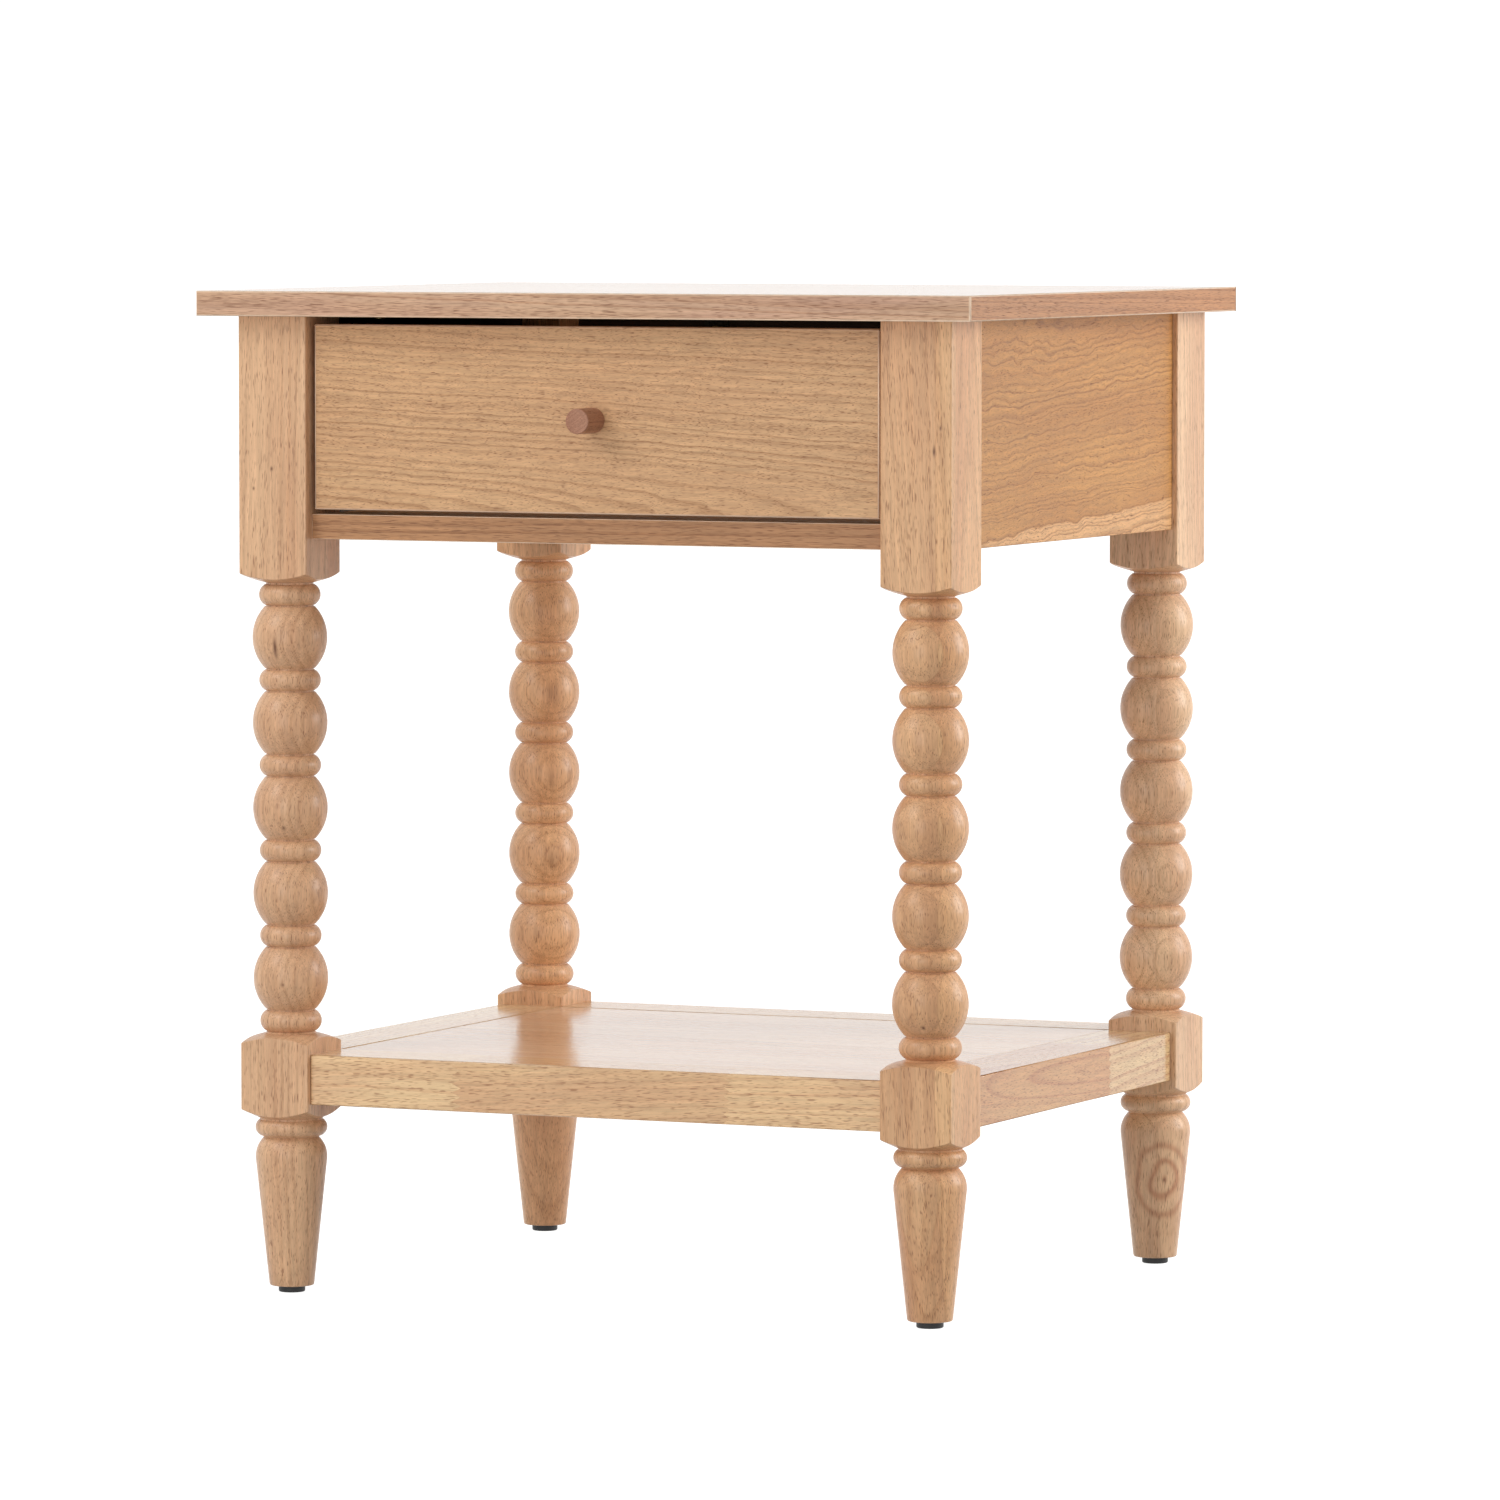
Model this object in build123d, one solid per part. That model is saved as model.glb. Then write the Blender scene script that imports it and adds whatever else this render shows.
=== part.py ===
from build123d import *
import os

# Side table with one drawer and a low shelf. Millimetres, +Z up, the front faces -Y.
# Origin: on the floor, under the middle of the table top.

# --- Overall size and the stock it is made from ---
TOP_WIDTH = 500.0
TOP_DEPTH = 415.0
HEIGHT = 600.0
BOARD = 15.0  # oak-veneered board: top, aprons, front rail and drawer front
EDGING = 1.0  # oak edging strips glued to the board's cut edges
ARRIS = 0.5  # small chamfer that eases the visible edges
LEG = 45.0  # square blank that each leg is turned from
LEG_ARRIS = 1.2
SIDE_OVERHANG = 19.0
FRONT_OVERHANG = 17.5
BACK_OVERHANG = 3.5
FIT = 0.1  # clearance round dowels, screws and panels

# --- Leg frame under the top ---
APRON_HEIGHT = 132.5
APRON_SETBACK = 3.5  # apron face behind the leg's face
RAIL_DEPTH = 60.0
RAIL_SETBACK = 8.0

# --- Shelf frame between the lower leg blocks ---
SHELF_RAIL_BOTTOM = 115.0
SHELF_RAIL_HEIGHT = 30.0
SHELF_RAIL_SETBACK = 3.7
SHELF_PANEL = 14.0  # panel thickness
SHELF_PANEL_DROP = 1.0  # panel's face below the rails
SHELF_PANEL_GAP = 0.3
TONGUE = 6.0  # how far the panel's tongue enters the rails
TONGUE_THICKNESS = 5.0

# --- Drawer ---
DRAWER_GAP_SIDE = 3.0
DRAWER_GAP_ABOVE = 4.8
DRAWER_GAP_BELOW = 2.7
DRAWER_SETBACK = 6.0  # drawer front behind the leg's face
DRAWER_SIDE = 12.0  # thickness of the box's sides and back
DRAWER_SIDE_HEIGHT = 90.0
DRAWER_SIDE_BOTTOM = 476.0
DRAWER_BOTTOM = 4.0
DRAWER_GROOVE = 6.0  # depth of the groove that holds the bottom
DRAWER_GROOVE_RISE = 8.0  # groove above the lower edge of the sides
KNOB_RADIUS = 7.5
KNOB_LENGTH = 22.0
KNOB_EASE = 0.8

# --- Ball-bearing slides, one each side of the drawer ---
SLIDE_LENGTH = 300.0
SLIDE_SET_IN = 3.0  # behind the drawer front
SLIDE_WIDTH = 12.7  # from the leg's inner face to the drawer's side
SLIDE_STEEL = 1.0
SLIDE_FLANGE = 1.2
SLIDE_BALL = 2.0  # ball radius
BALL_PLAY = 0.05  # between a ball and each track
SLIDE_HALF_HEIGHT = 22.5
BALL_CAGE_LENGTH = 150.0
BALL_CAGE_STEEL = 0.4
BALL_PITCH = 22.0
BALLS_PER_ROW = 7

# --- Fixings ---
DOWEL = 4.0  # radius of the frame dowels
THIN_DOWEL = 3.0
DOWEL_IN_LEG = 15.0
DOWEL_IN_BOARD = 20.0
SHELF_DOWEL_IN_LEG = 18.0
SHELF_DOWEL_IN_RAIL = 22.0
TOP_DOWEL = 5.0
TOP_DOWEL_IN_LEG = 20.0
TOP_DOWEL_IN_TOP = 10.0
HOLE_END = 1.0  # empty depth past the end of a dowel
SCREW = 2.0  # shank radius
SCREW_HEAD = 3.8
SCREW_HEAD_HEIGHT = 2.0
FLAT_HEAD_HEIGHT = 1.0
BRACKET = 25.0
BRACKET_WIDTH = 16.0
BRACKET_STEEL = 1.5
BRACKET_SCREW_PLACE = 15.0  # from the bracket's bend
BRACKET_SCREW_SHANK = 12.0
APRON_DOWEL_INSET = 26.0  # from the apron's long edges
RAIL_DOWEL_INSETS = (18.0, 35.0)  # behind the legs' front faces
CROSS_DOWEL_DROP = 10.0  # below the top of the front and back shelf rails
LONG_DOWEL_RISE = 8.0  # above the bottom of the side shelf rails, clear of the others
SHELF_DOWEL_INSETS = (12.0, 31.0)  # from the block's inner face

# --- Places that follow from the sizes above ---
LEG_X = TOP_WIDTH / 2 - SIDE_OVERHANG - LEG / 2
FRONT_LEG_Y = -TOP_DEPTH / 2 + FRONT_OVERHANG + LEG / 2
BACK_LEG_Y = TOP_DEPTH / 2 - BACK_OVERHANG - LEG / 2
INNER_X = LEG_X - LEG / 2
OUTER_X = LEG_X + LEG / 2
FRONT_FACE = FRONT_LEG_Y - LEG / 2
BACK_FACE = BACK_LEG_Y + LEG / 2
BAY_FRONT = FRONT_LEG_Y + LEG / 2
BAY_BACK = BACK_LEG_Y - LEG / 2
LEG_TOP = HEIGHT - BOARD
APRON_BOTTOM = LEG_TOP - APRON_HEIGHT
APRON_OUT_X = OUTER_X - APRON_SETBACK
APRON_IN_X = APRON_OUT_X - BOARD
APRON_OUT_Y = BACK_FACE - APRON_SETBACK
APRON_IN_Y = APRON_OUT_Y - BOARD
SHELF_RAIL_TOP = SHELF_RAIL_BOTTOM + SHELF_RAIL_HEIGHT
DRAWER_FRONT_FACE = FRONT_FACE + DRAWER_SETBACK
DRAWER_FRONT_BACK = DRAWER_FRONT_FACE + BOARD
DRAWER_FRONT_LOW = APRON_BOTTOM + BOARD + DRAWER_GAP_BELOW
DRAWER_FRONT_HIGH = LEG_TOP - DRAWER_GAP_ABOVE
DRAWER_HALF = INNER_X - DRAWER_GAP_SIDE
KNOB_Z = (DRAWER_FRONT_LOW + DRAWER_FRONT_HIGH) / 2
DRAWER_OUT_X = INNER_X - SLIDE_WIDTH
DRAWER_IN_X = DRAWER_OUT_X - DRAWER_SIDE
SLIDE_FRONT = DRAWER_FRONT_BACK + SLIDE_SET_IN
SLIDE_BACK = SLIDE_FRONT + SLIDE_LENGTH
SLIDE_Z = DRAWER_SIDE_BOTTOM + DRAWER_SIDE_HEIGHT / 2
DRAWER_BOX_BACK = SLIDE_BACK
SIDES = {"left": -1, "right": 1}


# --- Shared helpers ---
def board(x_span, y_span, z_span, ease=0.0, eased_axis=None):
    """A board between three pairs of limits, its edges along one axis eased."""
    spans = (sorted(x_span), sorted(y_span), sorted(z_span))
    size = [high - low for low, high in spans]
    centre = [(low + high) / 2 for low, high in spans]
    solid = Pos(*centre) * Box(*size)
    if ease:
        solid = chamfer(solid.edges().filter_by(eased_axis), ease)
    return solid


def rod(start, toward, radius, length):
    """A round rod from a point, in a direction."""
    shaft = Cylinder(radius, length, align=(Align.CENTER, Align.CENTER, Align.MIN))
    return Plane(origin=start, z_dir=toward) * shaft


def dowels(starts, toward, radius, length):
    """Dowels and the holes they sit in, a little wider and longer at both ends."""
    way = Vector(*toward)
    pins = [rod(start, toward, radius, length) for start in starts]
    holes = [
        rod(Vector(*start) - way * HOLE_END, toward, radius + FIT, length + 2 * HOLE_END)
        for start in starts
    ]
    return pins, holes


def screw(seat, inward, shank, head_height, radius=SCREW, head=SCREW_HEAD):
    """A flat-headed screw whose head rests on a seat, with its shank going inward."""
    out = Vector(*inward) * -1
    return rod(seat, inward, radius, shank) + rod(seat, tuple(out), head, head_height)


def screws(seats, inward, shank, head_height, radius=SCREW, head=SCREW_HEAD):
    """Screws that share a direction, and the holes for their shanks."""
    made = [screw(seat, inward, shank, head_height, radius, head) for seat in seats]
    holes = [rod(seat, inward, radius + FIT, shank + HOLE_END) for seat in seats]
    return made, holes


def sunk_screws(seats, inward, shank):
    """Countersunk screws with heads flush at their seats, and the holes they sit in."""
    made = []
    holes = []
    way = Vector(*inward)
    neck = SCREW_HEAD - SCREW
    for seat in seats:
        place = Plane(origin=seat, z_dir=inward)
        low = (Align.CENTER, Align.CENTER, Align.MIN)
        head = place * Cone(SCREW_HEAD, SCREW, neck, align=low)
        room = place * Cone(SCREW_HEAD + FIT, SCREW + FIT, neck, align=low)
        made.append(head + rod(Vector(*seat) + way * neck, inward, SCREW, shank - neck))
        holes.append(room + rod(seat, inward, SCREW + FIT, shank + HOLE_END))
    return made, holes


def near(piece, hole):
    """Whether two shapes' boxes meet, so that a cut is worth making."""
    a = piece.bounding_box()
    b = hole.bounding_box()
    return all(
        low_a < high_b and low_b < high_a
        for low_a, high_a, low_b, high_b in zip(a.min, a.max, b.min, b.max)
    )


def drill(piece, *hole_sets):
    """Cuts the holes that reach a piece."""
    cuts = [hole for holes in hole_sets for hole in holes if near(piece, hole)]
    return piece - cuts if cuts else piece


def write(name, *pieces):
    """Writes one sub-part, with every solid it has, to its own STEP file."""
    solids = [solid for piece in pieces for solid in piece.solids()]
    body = solids[0] if len(solids) == 1 else Compound(children=solids)
    export_step(body, f"parts/{name}.step")


# --- Where the dowels and screws go ---
CORNERS = {
    "front_left": (-1, FRONT_LEG_Y),
    "front_right": (1, FRONT_LEG_Y),
    "back_left": (-1, BACK_LEG_Y),
    "back_right": (1, BACK_LEG_Y),
}
APRON_DOWEL_Z = (APRON_BOTTOM + APRON_DOWEL_INSET, LEG_TOP - APRON_DOWEL_INSET)
APRON_MID_X = (APRON_IN_X + APRON_OUT_X) / 2
APRON_MID_Y = (APRON_IN_Y + APRON_OUT_Y) / 2
RAIL_MID_Z = APRON_BOTTOM + BOARD / 2
RAIL_DOWEL_Y = [FRONT_FACE + inset for inset in RAIL_DOWEL_INSETS]
CROSS_DOWEL_Z = SHELF_RAIL_TOP - CROSS_DOWEL_DROP
LONG_DOWEL_Z = SHELF_RAIL_BOTTOM + LONG_DOWEL_RISE


def across(side, y, z, in_leg):
    """Start of a dowel that lies along X and enters a leg by a given depth."""
    return (side * (INNER_X + in_leg), y, z)


def apron_dowels():
    """Two dowels in each end of the three aprons."""
    length = DOWEL_IN_LEG + DOWEL_IN_BOARD
    pins = []
    holes = []
    for z in APRON_DOWEL_Z:
        for side in SIDES.values():
            x = side * APRON_MID_X
            front = dowels([(x, BAY_FRONT - DOWEL_IN_LEG, z)], (0, 1, 0), DOWEL, length)
            back = dowels([(x, BAY_BACK + DOWEL_IN_LEG, z)], (0, -1, 0), DOWEL, length)
            start = across(side, APRON_MID_Y, z, DOWEL_IN_LEG)
            rear = dowels([start], (-side, 0, 0), DOWEL, length)
            for made, cut in (front, back, rear):
                pins += made
                holes += cut
    return pins, holes


def rail_dowels():
    """Two thin dowels in each end of the front rail."""
    pins = []
    holes = []
    for side in SIDES.values():
        starts = [across(side, y, RAIL_MID_Z, DOWEL_IN_LEG) for y in RAIL_DOWEL_Y]
        length = DOWEL_IN_LEG + DOWEL_IN_BOARD
        made, cut = dowels(starts, (-side, 0, 0), THIN_DOWEL, length)
        pins += made
        holes += cut
    return pins, holes


def shelf_dowels():
    """Two dowels in each end of the four shelf rails, at two heights so they don't meet."""
    length = SHELF_DOWEL_IN_LEG + SHELF_DOWEL_IN_RAIL
    pins = []
    holes = []
    for side in SIDES.values():
        for inset in SHELF_DOWEL_INSETS:
            rows = (BAY_FRONT - inset, BAY_BACK + inset)
            starts = [across(side, y, CROSS_DOWEL_Z, SHELF_DOWEL_IN_LEG) for y in rows]
            crossing = dowels(starts, (-side, 0, 0), DOWEL, length)
            x = side * (INNER_X + inset)
            front = (x, BAY_FRONT - SHELF_DOWEL_IN_LEG, LONG_DOWEL_Z)
            back = (x, BAY_BACK + SHELF_DOWEL_IN_LEG, LONG_DOWEL_Z)
            for made, cut in (
                crossing,
                dowels([front], (0, 1, 0), DOWEL, length),
                dowels([back], (0, -1, 0), DOWEL, length),
            ):
                pins += made
                holes += cut
    return pins, holes


def top_dowels():
    """One upright dowel from each leg into the top."""
    starts = [(side * LEG_X, y, LEG_TOP - TOP_DOWEL_IN_LEG) for side, y in CORNERS.values()]
    return dowels(starts, (0, 0, 1), TOP_DOWEL, TOP_DOWEL_IN_LEG + TOP_DOWEL_IN_TOP)


# --- Turned legs ---
GLIDE_RADIUS = 8.0
GLIDE_HEIGHT = 4.0
GLIDE_NAIL = 1.0
GLIDE_NAIL_LENGTH = 14.0
FOOT_RADIUS = 13.4
FOOT_EASE = 1.0
SHOULDER_RADIUS = 21.4  # widest part of the tapered foot
SHOULDER_Z = 80.5
SHOULDER_BEND = (20.1, 88.1)  # each bend is a point on an arc, as radius and height
FOOT_NECK = (16.5, 93.3)
FOOT_RING_RADIUS = 21.5
FOOT_RING_Z = 98.9
FOOT_RING_HALF = 5.2
FOOT_RING_LIP = 18.9
BLOCK_NECK = (18.8, 105.0)
BLOCK_BEND = (25.5, 108.0)
BLOCK_RIM_Z = 111.6  # rim of the lower block's turned end
BLOCK_TOP_RIM_Z = 149.7
BLOCK_TOP_BEND = (22.5, 154.0)
BLOCK_TOP_NECK = (15.2, 156.0)
UPPER_BLOCK_GROOVE_Z = 425.8
UPPER_BLOCK_NECK = (15.2, 426.0)
UPPER_BLOCK_BEND = (22.5, 428.1)
UPPER_BLOCK_RIM_Z = 432.3
BLOCK_CLEAR = 33.0  # turning radius that misses the corners of the square blank
NECK = 14.2  # groove radius between the beads
PITCH = 51.03  # from one ring to the next
RING_RADIUS = 18.4
RING_HALF = 6.1
RING_LIP = 14.9
BALL_RADIUS = 22.3
BALL_HALF = 18.4
BALL_LIP = 15.1
FIRST_RING_Z = 163.4
FIRST_BALL_Z = 188.95
BALL_COUNT = 5


def bead(lip, half, radius, z):
    """Moves that turn one rounded bead: out of the groove, round it and back."""
    return [[(NECK, z - half)], [(lip, z - half)], [(radius, z), (lip, z + half)], [(NECK, z + half)]]


def leg_moves():
    """The leg's outline from the foot up, as straight moves and arcs through a middle point."""
    ring_end = FOOT_RING_Z + FOOT_RING_HALF
    moves = [
        [(FOOT_RADIUS - FOOT_EASE, GLIDE_HEIGHT)],
        [(FOOT_RADIUS, GLIDE_HEIGHT + FOOT_EASE)],
        [(SHOULDER_RADIUS, SHOULDER_Z)],
        [SHOULDER_BEND, FOOT_NECK],
        [(FOOT_RING_RADIUS, FOOT_RING_Z), (FOOT_RING_LIP, ring_end)],
        [BLOCK_NECK],
        [BLOCK_BEND, (BLOCK_CLEAR, BLOCK_RIM_Z)],
        [(BLOCK_CLEAR, BLOCK_TOP_RIM_Z)],
        [BLOCK_TOP_BEND, BLOCK_TOP_NECK],
    ]
    for count in range(BALL_COUNT):
        moves += bead(RING_LIP, RING_HALF, RING_RADIUS, FIRST_RING_Z + count * PITCH)
        moves += bead(BALL_LIP, BALL_HALF, BALL_RADIUS, FIRST_BALL_Z + count * PITCH)
    moves += bead(RING_LIP, RING_HALF, RING_RADIUS, FIRST_RING_Z + BALL_COUNT * PITCH)
    moves += [
        [(NECK, UPPER_BLOCK_GROOVE_Z)],
        [UPPER_BLOCK_NECK],
        [UPPER_BLOCK_BEND, (BLOCK_CLEAR, UPPER_BLOCK_RIM_Z)],
        [(BLOCK_CLEAR, LEG_TOP)],
        [(0.0, LEG_TOP)],
    ]
    return moves


def lathe(start, moves):
    """Turns a half outline that starts and ends on the axis."""
    edges = []
    here = start
    for move in moves:
        edges.append(Line(here, move[0]) if len(move) == 1 else ThreePointArc(here, *move))
        here = move[-1]
    edges.append(Line(here, start))
    return revolve(Plane.XZ * make_face(edges), Axis.Z)


def leg_blank():
    """A turned leg on the Z axis: two square blocks, rings and balls, and a tapered foot."""
    turned = lathe((0.0, GLIDE_HEIGHT), leg_moves())
    square = board((-LEG / 2, LEG / 2), (-LEG / 2, LEG / 2), (0, HEIGHT), LEG_ARRIS, Axis.Z)
    return turned & square


def glides():
    """Plastic glides nailed under the feet, the nails, and the nail holes in the feet."""
    discs = []
    nails = []
    holes = []
    for side, y in CORNERS.values():
        foot = (side * LEG_X, y, 0.0)
        disc = rod(foot, (0, 0, 1), GLIDE_RADIUS, GLIDE_HEIGHT)
        seat = (side * LEG_X, y, GLIDE_HEIGHT / 2)
        nail = rod(seat, (0, 0, 1), GLIDE_NAIL, GLIDE_NAIL_LENGTH)
        hole = rod(seat, (0, 0, 1), GLIDE_NAIL + FIT, GLIDE_NAIL_LENGTH + HOLE_END)
        discs.append(chamfer(disc.edges().group_by(Axis.Z)[0], ARRIS) - hole)
        nails.append(nail)
        holes.append(hole)
    return discs, nails, holes


# --- Boards with glued edging ---
def edging_frame(half_width, near_span, far_span, thickness_axis):
    """Four strips round a board, the long ones over the ends of the short ones.

    half_width is half the board's full width, near_span its thickness and far_span its
    full size across, in the two directions square to X."""
    low, high = far_span
    inner = half_width - EDGING
    spans = {
        "low": ((-half_width, half_width), (low, low + EDGING)),
        "high": ((-half_width, half_width), (high - EDGING, high)),
        "left": ((-half_width, -inner), (low + EDGING, high - EDGING)),
        "right": ((inner, half_width), (low + EDGING, high - EDGING)),
    }
    strips = {}
    for name, (across_x, far) in spans.items():
        if thickness_axis == "Z":
            strip = board(across_x, far, near_span)
        else:
            strip = board(across_x, near_span, far)
        strips[name] = strip
    return strips


def eased(strip, outward):
    """Chamfers the two long edges of a strip's outer face."""
    face = strip.faces().sort_by(Axis((0, 0, 0), outward))[-1]
    long_edges = face.edges().sort_by(SortBy.LENGTH)[-2:]
    return chamfer(long_edges, ARRIS)


def table_top(holes):
    """The veneered top board and its four edging strips."""
    half = TOP_WIDTH / 2
    y_span = (-TOP_DEPTH / 2, TOP_DEPTH / 2)
    z_span = (LEG_TOP, HEIGHT)
    core_y = (y_span[0] + EDGING, y_span[1] - EDGING)
    core = board((EDGING - half, half - EDGING), core_y, z_span)
    strips = edging_frame(half, z_span, y_span, "Z")
    write("top_board", drill(core, *holes))
    write("top_edging_front", eased(strips["low"], (0, -1, 0)))
    write("top_edging_back", eased(strips["high"], (0, 1, 0)))
    write("top_edging_left", eased(strips["left"], (-1, 0, 0)))
    write("top_edging_right", eased(strips["right"], (1, 0, 0)))


# --- Aprons, front rail and shelf ---
def aprons(holes):
    """Three upright boards between the legs, with the front left open for the drawer."""
    z_span = (APRON_BOTTOM, LEG_TOP)
    for name, side in SIDES.items():
        x_span = (side * APRON_IN_X, side * APRON_OUT_X)
        write(f"apron_{name}", drill(board(x_span, (BAY_FRONT, BAY_BACK), z_span), *holes))
    back = board((-INNER_X, INNER_X), (APRON_IN_Y, APRON_OUT_Y), z_span)
    write("apron_back", drill(back, *holes))


def front_rail(holes):
    """A board laid flat under the drawer, with edging on its front."""
    front = FRONT_FACE + RAIL_SETBACK
    z_span = (APRON_BOTTOM, APRON_BOTTOM + BOARD)
    span = (-INNER_X, INNER_X)
    rail = board(span, (front + EDGING, front + RAIL_DEPTH), z_span)
    strip = board(span, (front, front + EDGING), z_span)
    write("front_rail", drill(rail, *holes))
    write("front_rail_edging", eased(strip, (0, -1, 0)))


def shelf(holes):
    """Four rails between the leg blocks and a tongued panel held in their grooves."""
    z_span = (SHELF_RAIL_BOTTOM, SHELF_RAIL_TOP)
    panel_top = SHELF_RAIL_TOP - SHELF_PANEL_DROP
    mid = panel_top - SHELF_PANEL / 2
    tongue_z = (mid - TONGUE_THICKNESS / 2, mid + TONGUE_THICKNESS / 2)
    groove_z = (tongue_z[0] - FIT, tongue_z[1] + FIT)
    reach = TONGUE + 2 * FIT
    x_all = (-INNER_X, INNER_X)
    y_all = (BAY_FRONT, BAY_BACK)
    grooves = [
        board((-INNER_X - reach, INNER_X + reach), y_all, groove_z),
        board(x_all, (BAY_FRONT - reach, BAY_BACK + reach), groove_z),
    ]
    front_out = FRONT_FACE + SHELF_RAIL_SETBACK
    back_out = BACK_FACE - SHELF_RAIL_SETBACK
    side_out = OUTER_X - SHELF_RAIL_SETBACK
    rails = {
        "shelf_rail_front": board(x_all, (front_out, BAY_FRONT), z_span, ARRIS, Axis.X),
        "shelf_rail_back": board(x_all, (BAY_BACK, back_out), z_span, ARRIS, Axis.X),
    }
    for name, side in SIDES.items():
        x_span = (side * INNER_X, side * side_out)
        rails[f"shelf_rail_{name}"] = board(x_span, y_all, z_span, ARRIS, Axis.Y)
    for name, rail in rails.items():
        write(name, drill(rail, grooves, *holes))
    gap = SHELF_PANEL_GAP
    x_panel = (gap - INNER_X, INNER_X - gap)
    y_panel = (BAY_FRONT + gap, BAY_BACK - gap)
    panel = board(x_panel, y_panel, (panel_top - SHELF_PANEL, panel_top))
    panel += board((-INNER_X - TONGUE, INNER_X + TONGUE), y_panel, tongue_z)
    panel += board(x_panel, (BAY_FRONT - TONGUE, BAY_BACK + TONGUE), tongue_z)
    write("shelf_panel", panel)


# --- Steel brackets that hold the top down ---
BRACKET_Y = (-70.0, 90.0)  # along the side aprons
BRACKET_X = 90.0  # either side of the middle of the back apron


def bracket_places():
    """Each bracket's corner point under the top, and the way that it faces."""
    places = [((s * APRON_IN_X, y, LEG_TOP), (-s, 0, 0)) for s in SIDES.values() for y in BRACKET_Y]
    places += [((s * BRACKET_X, APRON_IN_Y, LEG_TOP), (0, -1, 0)) for s in SIDES.values()]
    return places


def brackets():
    """Angle brackets, their screws, and the screws' holes in the aprons and the top."""
    made = []
    fixings = []
    holes = []
    for corner, facing in bracket_places():
        base = Vector(*corner)
        out = Vector(*facing)
        place = Plane(origin=base, x_dir=out, z_dir=(0, 0, -1))
        low = (Align.MIN, Align.CENTER, Align.MIN)
        angle = Box(BRACKET, BRACKET_WIDTH, BRACKET_STEEL, align=low)
        angle += Box(BRACKET_STEEL, BRACKET_WIDTH, BRACKET, align=low)
        up_seat = base + out * BRACKET_SCREW_PLACE + Vector(0, 0, -BRACKET_STEEL)
        wall_seat = base + out * BRACKET_STEEL + Vector(0, 0, -BRACKET_SCREW_PLACE)
        inward = tuple(out * -1)
        for seat, way in ((up_seat, (0, 0, 1)), (wall_seat, inward)):
            pins, cuts = screws([tuple(seat)], way, BRACKET_SCREW_SHANK, SCREW_HEAD_HEIGHT)
            fixings += pins
            holes += cuts
        made.append(drill(place * angle, holes))
    return made, fixings, holes


# --- Slides: cabinet member, middle member and drawer member, with balls between ---
BATTEN_Z = (480.0, 552.0)
BATTEN_SCREW_Z = 548.0
BATTEN_SCREW_Y = (-100.0, 110.0)
CABINET_SCREW_Y = (SLIDE_FRONT + 8.0, SLIDE_FRONT + 126.0, SLIDE_FRONT + 266.0)
DRAWER_SCREW_Y = (SLIDE_FRONT + 20.0, SLIDE_FRONT + 140.0, SLIDE_FRONT + 280.0)
SLIDE_SCREW_SHANK = 12.0
SLIDE_SCREW = 1.6
SLIDE_SCREW_HEAD = 3.2
RUNNING_GAP = 0.3  # between the faces of members that pass each other

OUTER_TRACK = SLIDE_HALF_HEIGHT - SLIDE_FLANGE
BALL_SPACE = 2 * (SLIDE_BALL + BALL_PLAY)
MIDDLE_OUT = OUTER_TRACK - BALL_SPACE
MIDDLE_IN = MIDDLE_OUT - SLIDE_FLANGE
INNER_OUT = MIDDLE_IN - BALL_SPACE
INNER_IN = INNER_OUT - SLIDE_FLANGE
OUTER_CAGE_WEB = SLIDE_STEEL + FLAT_HEAD_HEIGHT + RUNNING_GAP
MIDDLE_WEB = OUTER_CAGE_WEB + BALL_CAGE_STEEL + RUNNING_GAP
INNER_CAGE_WEB = MIDDLE_WEB + SLIDE_STEEL + RUNNING_GAP
INNER_EDGE = INNER_CAGE_WEB + BALL_CAGE_STEEL + RUNNING_GAP
OUTER_EDGE = 9.6
MIDDLE_EDGE = 11.3
OUTER_BALL_U = 7.0
INNER_BALL_U = 8.3
CAGE_CENTRE_Y = SLIDE_FRONT + SLIDE_LENGTH / 2


def slide_board(side, u_span, y_span, z_span):
    """A flat strip of a slide; u runs from the leg's inner face towards the drawer."""
    x_span = [side * (INNER_X - u) for u in u_span]
    return board(x_span, y_span, z_span)


def channel(side, web, edge, outside, flange, y_span):
    """A C-shaped member: an upright web, and two flanges that reach from it to an edge."""
    inside = outside - flange
    member = slide_board(side, web, y_span, (SLIDE_Z - outside, SLIDE_Z + outside))
    for low, high in ((-outside, -inside), (inside, outside)):
        span = (min(web[0], edge), max(web[1], edge))
        member += slide_board(side, span, y_span, (SLIDE_Z + low, SLIDE_Z + high))
    return member


def ball_row(side, u, height):
    """Two rows of balls, above and below the middle of a slide."""
    start = CAGE_CENTRE_Y - BALL_PITCH * (BALLS_PER_ROW - 1) / 2
    return [
        (side * (INNER_X - u), start + count * BALL_PITCH, SLIDE_Z + sign * height)
        for sign in (-1, 1)
        for count in range(BALLS_PER_ROW)
    ]


def caged_balls(side, u, height, web_start, edge):
    """Balls in their tracks and the folded steel cage that spaces them."""
    centres = ball_row(side, u, height)
    balls = [Pos(*centre) * Sphere(SLIDE_BALL) for centre in centres]
    pockets = [Pos(*centre) * Cylinder(SLIDE_BALL + FIT, BALL_SPACE / 2) for centre in centres]
    half = BALL_CAGE_STEEL / 2
    y_span = (CAGE_CENTRE_Y - BALL_CAGE_LENGTH / 2, CAGE_CENTRE_Y + BALL_CAGE_LENGTH / 2)
    web = (web_start, web_start + BALL_CAGE_STEEL)
    cage = channel(side, web, edge, height + half, BALL_CAGE_STEEL, y_span)
    return balls, cage - pockets


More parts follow.
